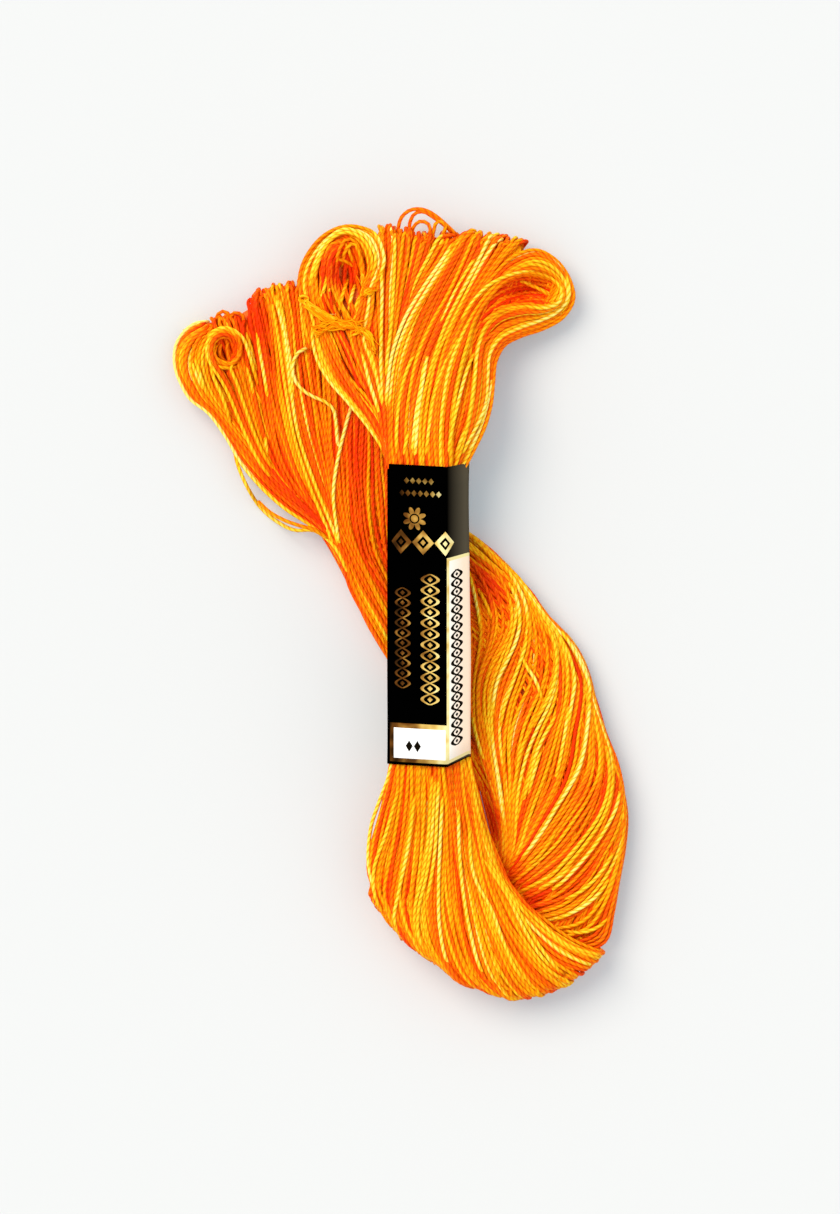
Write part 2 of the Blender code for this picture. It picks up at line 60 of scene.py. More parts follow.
# %% Sections of the hank
MM = 0.001
TO_PART = np.array((-0.045, -0.443, -0.25))  # the packed part's box stands centred on the origin
LX, LY, MX, MY, RX, RY, LZ, MZ, RZ, THICK, CREASE, INNER = range(12)
LEFT, MIDDLE, RIGHT = (LX, LY, LZ), (MX, MY, MZ), (RX, RY, RZ)
FRONT_HALF = (
    ("rim", -20.1, 68.9, 8.7, 81.5, 36.9, 68.2, 10.0, 5.6, 3.7, 6.6, 0, 1),
    ("lobes", -20.1, 63.4, 8.3, 74.3, 33.9, 62.6, 10.3, 5.4, 4.0, 7.8, 0, 1),
    ("shoulder", -17.3, 56.1, 8.1, 66.4, 27.2, 58.8, 10.8, 6.8, 5.2, 7.8, 0, 1),
    ("neck_a", -13.3, 48.3, 7.5, 57.5, 20.5, 55.0, 11.3, 8.8, 8.2, 7.8, 0, 1),
    ("neck_b", -8.5, 42.8, 6.8, 48.3, 19.2, 49.1, 11.9, 10.6, 10.2, 8.0, 0, 1),
    ("neck_c", -4.5, 38.0, 6.4, 39.5, 18.2, 41.6, 12.6, 12.2, 12.0, 8.3, 0.2, 1),
    ("neck_d", -2.2, 33.6, 6.2, 33.8, 15.6, 34.4, 13.1, 13.1, 13.0, 8.5, 0.7, 1),
    ("band_top", -1.6, 30.4, 6.2, 30.4, 14.1, 30.4, 13.2, 13.2, 13.2, 8.5, 1, 1),
    ("band_in", -1.6, 26.4, 6.2, 26.4, 14.1, 26.4, 13.2, 13.2, 13.2, 8.5, 1, 1),
    ("band_out", -1.6, -27.9, 6.4, -27.9, 14.4, -27.9, 13.2, 13.2, 13.2, 8.5, 1, 1),
    ("band_foot", -1.6, -31.9, 6.4, -32.1, 14.4, -31.5, 13.2, 13.2, 13.2, 8.5, 1, 1),
    ("leg_a", -3.3, -38.2, 7.5, -38.9, 16.7, -38.6, 11.9, 12.1, 11.9, 8.0, 0.3, 1),
    ("leg_b", -5.8, -47.2, 9.1, -48.7, 19.2, -48.1, 10.2, 10.7, 10.3, 7.2, 0, 1),
    ("leg_c", -6.8, -53.5, 11.2, -60.3, 23.8, -56.9, 9.5, 9.9, 9.6, 6.5, 0, 0.9),
    ("leg_d", -6.6, -55.4, 14.0, -69.7, 31.6, -65.3, 9.4, 9.5, 9.3, 6.0, 0, 0.8),
    ("fold_top", -6.2, -57.2, 16.7, -74.3, 39.8, -70.1, 9.1, 9.3, 8.9, 5.8, 0, 0.6),
    ("fold_a", -5.8, -58.1, 18.2, -76.2, 42.5, -70.8, 8.2, 8.4, 8.0, 5.6, 0, 0.45),
    ("fold", -5.4, -58.6, 18.4, -77.1, 43.6, -70.3, 6.1, 6.15, 6.1, 5.5, 0, 0.4),
    ("fold_b", -4.5, -58.4, 18.6, -76.2, 43.6, -69.3, 4.0, 3.9, 4.2, 5.4, 0, 0.45),
)
BACK_HALF = (
    ("under", 5.6, -54.6, 24.3, -68.0, 45.9, -63.2, 3.2, 3.2, 4.8, 6.4, 0, 1),
    ("crease", 13.3, -52.3, 30.1, -60.7, 47.1, -55.6, 3.4, 3.4, 4.6, 6.9, 0, 1),
    ("leg_a", 19.6, -48.9, 33.9, -51.4, 47.8, -47.0, 3.8, 3.8, 4.1, 7.6, 0, 1),
    ("leg_b", 18.8, -42.4, 33.1, -42.6, 47.6, -39.3, 4.0, 4.0, 4.0, 8.0, 0, 1),
    ("leg_c", 15.9, -35.5, 30.3, -34.6, 45.5, -31.3, 4.0, 4.0, 4.0, 8.0, 0, 1),
    ("leg_d", 11.2, -28.8, 25.9, -26.2, 41.7, -19.9, 3.9, 3.9, 3.9, 7.6, 0, 1),
    ("cross_a", 6.2, -22.5, 20.7, -17.8, 36.0, -8.2, 3.7, 3.7, 3.7, 7.3, 0, 1),
    ("cross_b", 1.4, -16.2, 14.6, -9.9, 28.2, 3.6, 3.6, 3.6, 3.6, 7.1, 0, 1),
    ("cross_c", -2.2, -10.3, 8.7, -3.6, 21.3, 10.7, 3.6, 3.6, 3.6, 7.1, 0, 1),
    ("cross_d", -5.6, -4.6, 2.8, 2.1, 14.6, 16.2, 3.6, 3.6, 3.6, 7.1, 0, 1),
    ("cross_e", -9.1, 2.7, -2.2, 8.6, 8.7, 21.2, 3.6, 3.6, 3.6, 7.1, 0, 1),
    ("cross_f", -12.7, 10.7, -7.7, 13.7, 4.7, 25.8, 3.6, 3.6, 3.5, 7.1, 0, 1),
    ("fan_a", -16.5, 17.2, -12.3, 20.6, 0.7, 30.0, 3.5, 3.5, 3.4, 7.0, 0, 1),
    ("fan_b", -23.2, 23.7, -17.1, 28.3, -2.8, 36.3, 3.4, 3.4, 3.2, 6.7, 0, 1),
    ("fan_c", -30.3, 30.0, -21.5, 37.2, -5.8, 43.7, 3.3, 3.3, 3.1, 6.5, 0, 1),
    ("fan_d", -36.0, 36.3, -24.7, 45.6, -8.1, 51.0, 3.3, 3.3, 3.0, 6.4, 0, 1),
    ("fan_e", -41.3, 42.2, -27.2, 53.5, -9.8, 58.4, 3.5, 3.3, 2.9, 6.6, 0, 1),
    ("lobe", -45.9, 47.2, -29.5, 61.1, -11.0, 65.7, 3.8, 3.3, 2.8, 7.0, 0, 1),
    ("rim", -47.8, 54.4, -31.4, 67.6, -12.3, 73.7, 3.6, 3.2, 2.8, 6.6, 0, 1),
)
SECTIONS = np.array([row[1:] for row in FRONT_HALF + BACK_HALF], float)
FOLD = len(FRONT_HALF) - 1
LAST = len(SECTIONS) - 1
print(len(SECTIONS), "sections, the fold at number", FOLD)

# %% [markdown]
# ## Smooth lines
#
# A smooth curve through rows that lie unevenly far apart overshoots if it treats them as even.
# Slopes that allow for the distance between rows avoid that. The same curve later draws every
# traced thread.

# %% Curves, lengths and steps
def unit(v):
    return v / np.maximum(np.linalg.norm(v, axis=1), 1e-9)[:, None]


def run_along(path):
    """The distance along a line at each of its points."""
    return np.concatenate([[0], np.cumsum(np.linalg.norm(np.diff(path, axis=0), axis=1))])


def through(values, at, places=None):
    """Values at fractional row numbers, on a smooth curve through unevenly spaced rows."""
    places = values if places is None else places
    gaps = np.maximum(np.linalg.norm(np.diff(places, axis=0), axis=1), 1e-6)[:, None]
    slopes = np.diff(values, axis=0) / gaps
    inner = (gaps[:-1] * slopes[1:] + gaps[1:] * slopes[:-1]) / (gaps[:-1] + gaps[1:])
    slopes = np.concatenate([slopes[:1], inner, slopes[-1:]])
    i = np.clip(np.floor(at).astype(int), 0, len(values) - 2)
    f = (at - i)[:, None]
    rise = values[i + 1] - values[i]
    start, end = slopes[i] * gaps[i], slopes[i + 1] * gaps[i]
    smooth = values[i] + rise * f * f * (3 - 2 * f)
    return smooth + start * f * (1 - f) ** 2 - end * f * f * (1 - f)


def stepped(path, step):
    """The same line with its points evenly spaced."""
    run = run_along(path[:, :3])
    at = np.linspace(0, run[-1], max(3, round(run[-1] / step) + 1))
    return np.stack([np.interp(at, run, column) for column in path.T], axis=1)


def rows_at(at):
    return through(SECTIONS, np.clip(at, 0, LAST), SECTIONS[:, MIDDLE])


def half_width(rows):
    return np.linalg.norm(rows[:, RIGHT] - rows[:, LEFT], axis=1) / 2


widths = 2 * half_width(SECTIONS)
print("sections from", widths.min().round(1), "to", widths.max().round(1), "mm wide")

# %% [markdown]
# ## From sections to places
#
# Three numbers give any place in the hank: how far along the thread, how far across, and how
# deep. The looped ends bulge where bundles of thread push their outline out.

# %% Places in the hank
PLUMP = 3.2  # power of the rounded section: 2 would be an ellipse
NUDGE_ALONG, NUDGE_ACROSS = 0.05, 0.02  # steps for measuring directions
FLATTENED, FLAT_FROM = 0.75, 0.45  # thickness lost at the creased side, and where it begins
BULGE_FADE = 1.1  # a section inwards
LOBES = (  # end, place across, half its width, rise in mm
    ("upper", -0.80, 0.20, 5.0),
    ("upper", -0.33, 0.14, 1.0),
    ("upper", 0.82, 0.30, 4.0),
    ("lower", -0.75, 0.20, 1.5),
    ("lower", -0.12, 0.10, -4.0),
)


def sheet(rows, u):
    """The surface halfway through the hank, u from -1 at its left edge to 1 at its right."""
    u = u[:, None]
    left, right = rows[:, LEFT] * u * (u - 1) / 2, rows[:, RIGHT] * u * (u + 1) / 2
    return left + rows[:, MIDDLE] * (1 - u * u) + right


def full(u):
    """The share of the thickness at a place across."""
    return np.maximum(1 - np.abs(u) ** PLUMP, 0) ** (1 / PLUMP)


def flattened(u, crease):
    """The share of the thickness that the crease in the paper leaves."""
    return 1 - FLATTENED * crease * np.clip((u - FLAT_FROM) / (1 - FLAT_FROM), 0, 1)


def bulge(end, u, rows_away):
    """How far the outline of a looped end moves outwards."""
    lobes = [lobe for where, *lobe in LOBES if where == end]
    push = sum(rise * np.exp(-(((u - at) / half) ** 2)) for at, half, rise in lobes)
    return push * np.exp(-BULGE_FADE * rows_away) * (1 - np.abs(u) ** 6)


def place(at, u, w):
    """Points in the hank, w from -1 on the side inside the fold to 1 on the side outside it."""
    rows = rows_at(at)
    along = unit(sheet(rows_at(at + NUDGE_ALONG), u) - sheet(rows_at(at - NUDGE_ALONG), u))
    side = sheet(rows, u + NUDGE_ACROSS) - sheet(rows, u - NUDGE_ACROSS)
    half = rows[:, THICK] / 2 * np.where(w < 0, rows[:, INNER], flattened(u, rows[:, CREASE]))
    pushed = bulge("lower", u, LAST - at) - bulge("upper", u, at)
    deep = unit(np.cross(along, side)) * (half * w)[:, None]
    return sheet(rows, u) + deep + along * pushed[:, None]


middle_of_fold = place(np.array([float(FOLD)]), np.zeros(1), np.zeros(1))[0]
print("the middle of the fold lies at", middle_of_fold.round(1))

# %% [markdown]
# ## Openings and grooves
#
# The looped ends aren't evenly thick. Each loop turns round an opening, with a collar of thread
# about it, and between the bundles run grooves.

# %% What is pressed in
EYES = (  # name, centre, half its length and width, tilt in degrees, depth, collar
    ("right_turn", 28.2, 68.4, 8.2, 3.4, 14, 4.2, 1.1),
    ("left_arch", -9.6, 71.6, 4.6, 6.0, -10, 3.6, 1.0),
    ("curl", -35.8, 54.6, 2.6, 3.2, 20, 3.4, 1.2),
)
COLLAR_AT, COLLAR_HALF = 1.35, 0.35  # in sizes of the opening
BUNDLES = (  # name, from, to, half its width, rise
    ("tied_bundle", -11.5, 59.5, -2.6, 35.5, 2.6, 1.1),
    ("tie_pinch", -20.0, 65.4, -5.2, 57.6, 1.3, -0.9),
    ("centre_groove", 0.6, 61.0, -1.4, 42.0, 1.6, -1.0),
    ("ear_groove", 21.0, 62.5, 12.0, 44.0, 1.8, -0.8),
    ("lobe_groove", -33.4, 60.5, -30.5, 45.0, 1.5, -1.2),
    ("band_hollow", 14.6, 13.0, 17.5, -1.0, 1.8, -1.1),
    ("leg_hollow", 17.0, -32.0, 21.6, -51.0, 1.2, -1.8),
)


def pressed(xy):
    """How far the openings sink and the loops round them stand up, at points seen from above."""
    lift = np.zeros(len(xy))
    for _, cx, cy, rx, ry, tilt, depth, collar in EYES:
        c, s = math.cos(math.radians(tilt)), math.sin(math.radians(tilt))
        dx, dy = xy[:, 0] - cx, xy[:, 1] - cy
        r = np.hypot((dx * c + dy * s) / rx, (dy * c - dx * s) / ry)
        ring = collar * np.exp(-(((r - COLLAR_AT) / COLLAR_HALF) ** 2))
        lift += ring - depth * np.clip(1 - r * r, 0, 1) ** 2
    for _, x1, y1, x2, y2, half, rise in BUNDLES:
        line = np.array((x2 - x1, y2 - y1))
        t = ((xy - (x1, y1)) @ line) / (line @ line)
        off = np.linalg.norm(xy - (x1, y1) - t[:, None] * line, axis=1)
        ends = np.clip(4 * t, 0, 1) * np.clip(4 * (1 - t), 0, 1)
        lift += rise * ends * np.exp(-((off / half) ** 2))
    return lift


eye_centres = np.array([row[1:3] for row in EYES])
print("the openings sink by", (-pressed(eye_centres)).round(1), "mm")

# %% [markdown]
# ## Maps of the two upper surfaces
#
# Threads that were traced from above need a height. Casting rays would do, but the front half
# hides the back half, and each is needed. So each half's upper surface is sampled densely into
# its own map of heights.

# %% Height maps
CELL = 0.4
LOW = np.array((-58.0, -88.0))  # the corner of both maps
CELLS = (290, 440)
SAMPLES_ALONG, SAMPLES_ACROSS = 900, 260
ALMOST_QUARTER = 1.57  # a quarter turn would leave the outermost samples without thickness
ROUNDED = 0.42  # of a section, over which a looped end rounds off
SPREAD_CELLS = 14
LOWEST_SURFACE = 0.4


def height_map(first, last, side, looped_end):
    """Heights of one half's upper surface on a grid, spread a little past its outline."""
    across = np.sin(np.linspace(-ALMOST_QUARTER, ALMOST_QUARTER, SAMPLES_ACROSS))
    at, u = np.meshgrid(np.linspace(first, last, SAMPLES_ALONG), across)
    at, u = at.ravel(), u.ravel()
    near = np.abs(at - looped_end) / ROUNDED
    w = full(u) * np.where(near < 1, np.sqrt(np.clip(1 - (1 - near) ** 2, 0, 1)), 1)
    points = place(at, u, side * w)
    grid = np.full(CELLS, -1.0)
    cell = np.round((points[:, :2] - LOW) / CELL).astype(int)
    np.maximum.at(grid, (cell[:, 0], cell[:, 1]), points[:, 2])
    for _ in range(SPREAD_CELLS):
        near = np.stack([np.roll(grid, s, a) for a in (0, 1) for s in (-1, 1)])
        seen = (near >= 0).sum(axis=0)
        mean = np.where(near >= 0, near, 0).sum(axis=0) / np.maximum(seen, 1)
        grid = np.where((grid < 0) & (seen > 0), mean, grid)
    return np.maximum(grid, LOWEST_SURFACE)


def height(grid, xy):
    """Heights at points seen from above, between the cells of a map."""
    place_in = np.clip((xy - LOW) / CELL, 0, np.array(grid.shape) - 1.001)
    (i, j), (f, g) = place_in.astype(int).T, (place_in % 1).T
    low = grid[i, j] * (1 - f) + grid[i + 1, j] * f
    high = grid[i, j + 1] * (1 - f) + grid[i + 1, j + 1] * f
    return low * (1 - g) + high * g + pressed(xy)


front_map = height_map(0, FOLD, 1, 0)
back_map = height_map(FOLD + 1, LAST, -1, LAST)
print("front surface up to", front_map.max().round(1), "mm, back", back_map.max().round(1))

# %% [markdown]
# ## What a thread is made of here
#
# A strand could be a curve with a bevel, but hundreds of curves are slow and carry no colours
# along their length. So strands are tubes written straight into joined meshes. Each point also
# keeps how far round the flank of its strand it lies, seen from outside the hank, because
# neighbours shade each other there. First, then, which way is out.

# %% Which way is out
SLOPE_STEP = 0.8


def outward(points):
    """The direction out of the hank at points near its surface."""
    xy, maps = points[:, :2], (front_map, back_map)
    tops = np.stack([height(grid, xy) for grid in maps])
    nearest = np.abs(tops - points[:, 2]).argmin(axis=0)
    slopes = []
    for step in ((SLOPE_STEP, 0.0), (0.0, SLOPE_STEP)):
        rise = np.stack([height(grid, xy + step) - height(grid, xy - step) for grid in maps])
        slopes.append(-rise[nearest, np.arange(len(xy))])
    return unit(np.column_stack([*slopes, np.full(len(xy), 2 * SLOPE_STEP)]))


print("out of the middle of the fold is", outward(middle_of_fold[None])[0].round(2))

# %% [markdown]
# A tube needs two directions across its path. Carried from point to point without twisting,
# they keep the plies even. On a closed turn the small twist that is left over is shared out.

# %% Directions across a path
def turned_frames(path, closed):
    """Two directions across each point of a path, carried along it without twisting."""
    ahead = np.roll(path, -1, 0) - np.roll(path, 1, 0) if closed else np.gradient(path, axis=0)
    tangents = unit(ahead)
    first = np.cross(tangents[0], (0.0, 0.0, 1.0))
    if np.linalg.norm(first) < 0.2:
        first = np.cross(tangents[0], (1.0, 0.0, 0.0))
    across = np.empty_like(path)
    held = first / np.linalg.norm(first)
    for i, t in enumerate(tangents):
        held = held - t * (held @ t)
        held = held / math.sqrt(held @ held)
        across[i] = held
    if closed:
        end, start = across[-1], across[0]
        gap = math.atan2(end @ np.cross(tangents[0], start), end @ start)
        angle = -gap * np.arange(len(path)) / len(path)
        other = np.cross(tangents, across)
        across = across * np.cos(angle)[:, None] + other * np.sin(angle)[:, None]
    return across, np.cross(tangents, across)


test_line = np.outer(np.arange(4.0), (1.0, 0.0, 0.0))
print("across a line along x:", [side[0].round(2) for side in turned_frames(test_line, False)])

# %% [markdown]
# Each strand has two maps: one in millimetres along and turns around, for the twist of its
# plies, and one tidy strip a strand, for baking.

# %% Skin, wall and caps of a strand
STRIP_END, STRIP_EDGE = 0.002, 0.06  # margins of a strip, so that neighbours don't bleed


def skin(path, radius, sides, closed):
    """Points round a path, and how far round its flanks each one is."""
    a, b = turned_frames(path, closed)
    angle = 2 * math.pi * (np.arange(sides) / sides)
    spoke = np.cos(angle)[None, :, None] * a[:, None] + np.sin(angle)[None, :, None] * b[:, None]
    beside = unit(np.cross(np.cross(a, b), outward(path)))
    flank = np.abs((spoke * beside[:, None]).sum(-1))
    return (path[:, None] + radius * spoke).reshape(-1, 3), flank.ravel()


def on_strip(u, v, strip):
    """A place on the strip for baking, from its shares around and along."""
    number, strips = strip
    along = STRIP_END + (1 - 2 * STRIP_END) * v
    return along, (number + STRIP_EDGE + (1 - 2 * STRIP_EDGE) * u) / strips


def wall(path, sides, strip, closed):
    """Quads between the rings of points, with their places on both maps."""
    count = len(path)
    i, j = np.arange(count if closed else count - 1)[:, None], np.arange(sides)[None, :]
    after, up = (i + 1) % count, (j + 1) % sides
    quads = [i * sides + j, i * sides + up, after * sides + up, after * sides + j]
    run = run_along(np.concatenate([path, path[:1]]) if closed else path)
    v0, v1 = run[:-1][:, None] + 0 * j, run[1:][:, None] + 0 * j
    u0, u1 = j / sides + 0 * i, (j + 1) / sides + 0 * i
    x0, y0 = on_strip(u0, v0 / run[-1], strip)
    x1, y1 = on_strip(u1, v1 / run[-1], strip)
    thread_map = np.stack([u0, v0, u1, v0, u1, v1, u0, v1], -1)
    strip_map = np.stack([x0, y0, x0, y1, x1, y1, x1, y0], -1)
    return np.stack(quads, -1).reshape(-1, 4), thread_map.ravel(), strip_map.ravel(), run[-1]


def cap(last, path, sides, strip, length):
    """Triangles from the point at one end of a tube to its ring, with both maps."""
    count = len(path)
    ring = np.arange(sides) + (count - 1) * sides * last
    tris = np.stack([ring, np.roll(ring, -1), np.full(sides, count * sides + last)], -1)
    thread_map = np.broadcast_to((0.5, length * last), (sides, 3, 2))
    strip_map = np.broadcast_to(on_strip(0.5, float(last), strip), (sides, 3, 2))
    return tris if last else tris[:, (1, 0, 2)], thread_map.ravel(), strip_map.ravel()


print("a test strand has", len(wall(test_line, 8, (0, 1), False)[0]), "quads")

# %% [markdown]
# All strands of a group go into one mesh. A third value, the tone, runs along each strand from
# deep orange to pale yellow.

# %% Joined meshes
def placed(name, mesh, material):
    """The mesh as an object of the scene, in its material."""
    mesh.materials.append(material)
    obj = bpy.data.objects.new(name, mesh)
    bpy.context.scene.collection.objects.link(obj)
    return obj


def strand_mesh(name, strands, sides, material, closed=False):
    """One joined mesh of tubes. Each strand is (path in mm, radius, tone along it)."""
    points, values = [], {"tone": [], "flank": []}
    fours, threes, base = ([], [], []), ([], [], []), 0
    for number, (path, radius, tone) in enumerate(strands):
        strip = (number, len(strands))
        tone = np.broadcast_to(tone, len(path))
        ring_points, flank = skin(path, radius, sides, closed)
        quads, *maps, length = wall(path, sides, strip, closed)
        points.append(ring_points)
        values["tone"].append(np.repeat(tone, sides))
        values["flank"].append(flank)
        for kept, new in zip(fours, (base + quads, *maps)):
            kept.append(new)
        if not closed:
            points.append(path[[0, -1]])
            values["tone"].append(tone[[0, -1]])
            values["flank"].append(np.zeros(2))
            for last in (0, 1):
                tris, *maps = cap(last, path, sides, strip, length)
                for kept, new in zip(threes, (base + tris, *maps)):
                    kept.append(new)
        base += len(path) * sides + 2 * (not closed)
    return write_mesh(name, points, values, fours, threes, material)


def write_mesh(name, points, values, fours, threes, material):
    mesh = bpy.data.meshes.new(name)
    co = (np.concatenate(points) + TO_PART) * MM
    quads = np.concatenate(fours[0])
    tris = np.concatenate(threes[0]) if threes[0] else np.empty((0, 3), int)
    mesh.vertices.add(len(co))
    mesh.vertices.foreach_set("co", co.ravel())
    corners = np.concatenate([quads.ravel(), tris.ravel()])
    mesh.loops.add(len(corners))
    mesh.loops.foreach_set("vertex_index", corners)
    totals = np.concatenate([np.full(len(quads), 4), np.full(len(tris), 3)])
    mesh.polygons.add(len(totals))
    starts = np.concatenate([[0], np.cumsum(totals)[:-1]])
    mesh.polygons.foreach_set("loop_start", starts)
    mesh.polygons.foreach_set("use_smooth", np.ones(len(totals), bool))
    mesh.update(calc_edges=True)
    for layer, wall_map, cap_map in zip(("thread", "OFBake"), fours[1:], threes[1:]):
        uv = np.concatenate(wall_map + cap_map)
        mesh.uv_layers.new(name=layer).data.foreach_set("uv", uv)
    for key, parts in values.items():
        attribute = mesh.attributes.new(key, "FLOAT", "POINT")
        attribute.data.foreach_set("value", np.concatenate(parts).astype(np.float32))
    mesh.validate()
    print(name, sum(totals - 2), "triangles")
    obj = placed(name, mesh, material)
    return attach(obj, "root")


# %% [markdown]
# ## Writing shaders as expressions
#
# Wiring nodes by hand hides what a material does. A small class that holds a socket and turns
# + - * / into Math nodes lets each finish read as a formula.

# %% Sockets as expressions
class Wire:
    """A socket of a node tree, which adds Math nodes when it is used in an expression."""

    def __init__(self, tree, socket=None):
        self.tree, self.socket = tree, socket

    def node(self, kind, inputs=None, output=0, stops=(), **settings):
        """A new node, its settings first, given back as the wire out of one of its outputs."""
        made = self.tree.nodes.new(kind)
        for key, value in settings.items():
            setattr(made, key, value)
        for number, (position, colour) in enumerate(stops):
            elements = made.color_ramp.elements
            element = elements[number] if number < len(elements) else elements.new(position)
            element.position, element.color = position, (*colour, 1)
        for key, value in (inputs or {}).items():
            if isinstance(value, Wire):
                value.into(made.inputs[key])
            else:
                made.inputs[key].default_value = value
        return Wire(self.tree, made.outputs[output])

    def into(self, socket):
        self.tree.links.new(self.socket, socket)

    def math(self, operation, *values):
        return self.node("ShaderNodeMath", dict(enumerate(values)), operation=operation)

    def __add__(self, other):
        return self.math("ADD", self, other)

    __radd__ = __add__

    def __mul__(self, other):
        return self.math("MULTIPLY", self, other)

    __rmul__ = __mul__

    def __sub__(self, other):
        return self.math("SUBTRACT", self, other)

    def __rsub__(self, other):
        return self.math("SUBTRACT", other, self)

    def __truediv__(self, other):
        return self.math("DIVIDE", self, other)

    def __gt__(self, other):
        return self.math("GREATER_THAN", self, other)

    def __lt__(self, other):
        return self.math("LESS_THAN", self, other)

    def __abs__(self):
        return self.math("ABSOLUTE", self)

    def sine(self):
        return self.math("SINE", self)

    def noise(self, where, scale, detail, **settings):
        inputs = {"Vector": where, "Scale": scale, "Detail": detail}
        return self.node("ShaderNodeTexNoise", inputs, **settings)

    def value_of(self, attribute):
        return self.node("ShaderNodeAttribute", output=2, attribute_name=attribute)

    def map_of(self, name):
        """A map as the wires of its place, its first number and its second."""
        spots = self.node("ShaderNodeUVMap", uv_map=name)
        parts = self.node("ShaderNodeSeparateXYZ", {0: spots}).socket.node.outputs
        return spots, Wire(self.tree, parts[0]), Wire(self.tree, parts[1])

    def mixed(self, low, high):
        """Low where this is 0 and high where it is 1, for colours."""
        return self.node("ShaderNodeMix", {0: self, 6: low, 7: high}, 2, data_type="RGBA")

    def ramp(self, stops):
        """The colour at this value, between stops of (value, colour)."""
        return self.node("ShaderNodeValToRGB", {0: self}, stops=stops)


def new_finish(name, constants):
    """A material, the sockets of its Principled shader with constants set, and a first wire."""
    made = bpy.data.materials.new(name)
    made.use_nodes = True
    sockets = made.node_tree.nodes["Principled BSDF"].inputs
    for key, value in constants.items():
        sockets[key].default_value = value
    return made, sockets, Wire(made.node_tree)


print("a wire also knows", [name for name in vars(Wire) if not name.startswith("__")])

# %% [markdown]
# ## Mercerised cotton
#
# The thread is two plies of glossy cotton, twisted together and dyed in stretches from pale
# yellow to deep orange. The plies show as slanting beads, a millimetre and a half long. They are
# finer than the mesh, so they are bump, with painted shade in the grooves and at the flanks,
# where neighbours touch, and a faint painted highlight on the beads. A faint red glow is painted
# light that stands in for the light that passes from thread to thread.

# %% Thread material
DYES = (
    (0.0, (0.82, 0.03, 0.0)),
    (0.28, (0.96, 0.12, 0.0)),
    (0.5, (0.98, 0.26, 0.0)),
    (0.68, (0.98, 0.43, 0.002)),
    (0.84, (0.98, 0.65, 0.02)),
    (1.0, (0.98, 0.86, 0.2)),
)
# painted shade: the colour in the ply grooves and at the flanks, where neighbours meet
SHADE_BETWEEN_THREADS = (0.45, 0.04, 0.0, 1)
PLY_LAY = 3.3  # mm of thread to one turn of its plies
PLY_RELIEF = 0.0002  # m


def cotton_finish(name):
    made, sockets, wire = new_finish(name, {
        "Roughness": 0.45, "Specular IOR Level": 0.05,
        # painted light: a faint red glow for the light passed from thread to thread
        "Emission Color": (1.0, 0.1, 0.0, 1), "Emission Strength": 0.02,
    })
    spots, around, along = wire.map_of("thread")
    tone, flank = wire.value_of("tone"), wire.value_of("flank")
    ribs = abs(((around - along / PLY_LAY) * (2 * math.pi)).sine())
    groove = (1 - ribs) * (1 - ribs)
    fuzz = wire.noise(spots, 5.0, 2.0)
    # the tone, with a painted highlight on the ply crowns and painted shade in the ply grooves
    shade = tone + (fuzz - 0.5) * 0.22 + 0.06 * ribs - groove * 0.16
    # painted shade at the flanks and in the ply grooves
    dark = flank * flank * flank * 0.42 + groove * 0.26
    dark.mixed(shade.ramp(DYES), SHADE_BETWEEN_THREADS).into(sockets["Base Color"])
    relief = {"Strength": 0.5, "Distance": PLY_RELIEF, "Height": ribs + fuzz * 0.15}
    wire.node("ShaderNodeBump", relief).into(sockets["Normal"])
    return made


cotton = cotton_finish("cotton_thread")
print("thread material with", len(cotton.node_tree.nodes), "nodes")

# %% [markdown]
# ## The heart of the hank
#
# The real hank is thread right through. Only the outer threads show, so inside them lies a
# plain closed form in the deepest dye, a little smaller than the solid, which stops light and
# sight as the hidden threads do. Under the openings it sinks further than the threads.

# %% Core
CORE_POINTS = 26  # round a ring
CORE_RINGS = 6  # to a section
CORE_INSET = 1.5
CORE_SINKS = 1.5  # times as far as the threads
CORE_UPPER_SIDE = 4.0


def core_form(first, last):
    """A closed form through the hank, drawn in from its surface."""
    angle = np.linspace(0, 2 * math.pi, CORE_POINTS, endpoint=False)
    cu, cw = (np.sign(v) * np.abs(v) ** (2 / PLUMP) for v in (np.cos(angle), np.sin(angle)))
    rings = []
    for at in np.linspace(first, last, int((last - first) * CORE_RINGS) + 1):
        row = rows_at(np.array([at]))
        end = min(1.0, min(at - first, last - at) * 2.2 + 0.25)
        u = cu * (1 - CORE_INSET / half_width(row))
        w = cw * max(0.15, 1 - CORE_INSET * 2 / row[0, THICK]) * end
        ring = place(np.full(CORE_POINTS, at), u, w)
        sunk = np.minimum(pressed(ring[:, :2]), 0) * (ring[:, 2] > CORE_UPPER_SIDE)
        ring[:, 2] += CORE_SINKS * sunk
        rings.append(ring)
    return np.array(rings)


def closed_rings(name, rings, material):
    count, size = rings.shape[:2]
    faces = []
    for i in range(count - 1):
        for j in range(size):
            a, b = i * size, (j + 1) % size
            faces.append((a + j, a + b, a + size + b, a + size + j))
    faces += [tuple(range(size))[::-1], tuple(range((count - 1) * size, count * size))]
    mesh = bpy.data.meshes.new(name)
    mesh.from_pydata(((rings.reshape(-1, 3) + TO_PART) * MM).tolist(), [], faces)
    mesh.polygons.foreach_set("use_smooth", np.ones(len(faces), bool))
    obj = placed(name, mesh, material)
    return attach(obj, "root")


core_finish, core_sockets, core_wire = new_finish("core_thread", {"Roughness": 0.8})
core_where = core_wire.node("ShaderNodeTexCoord", output=3)
core_grain = core_wire.noise(core_where, 900.0, 3.0)
core_dyes = ((0.3, (0.75, 0.07, 0.0)), (0.7, (0.95, 0.2, 0.0)))
core_grain.ramp(core_dyes).into(core_sockets["Base Color"])
core = closed_rings("hank_core", core_form(0.35, LAST - 0.35), core_finish)
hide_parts("hank")
print("core", len(core.data.polygons), "faces")
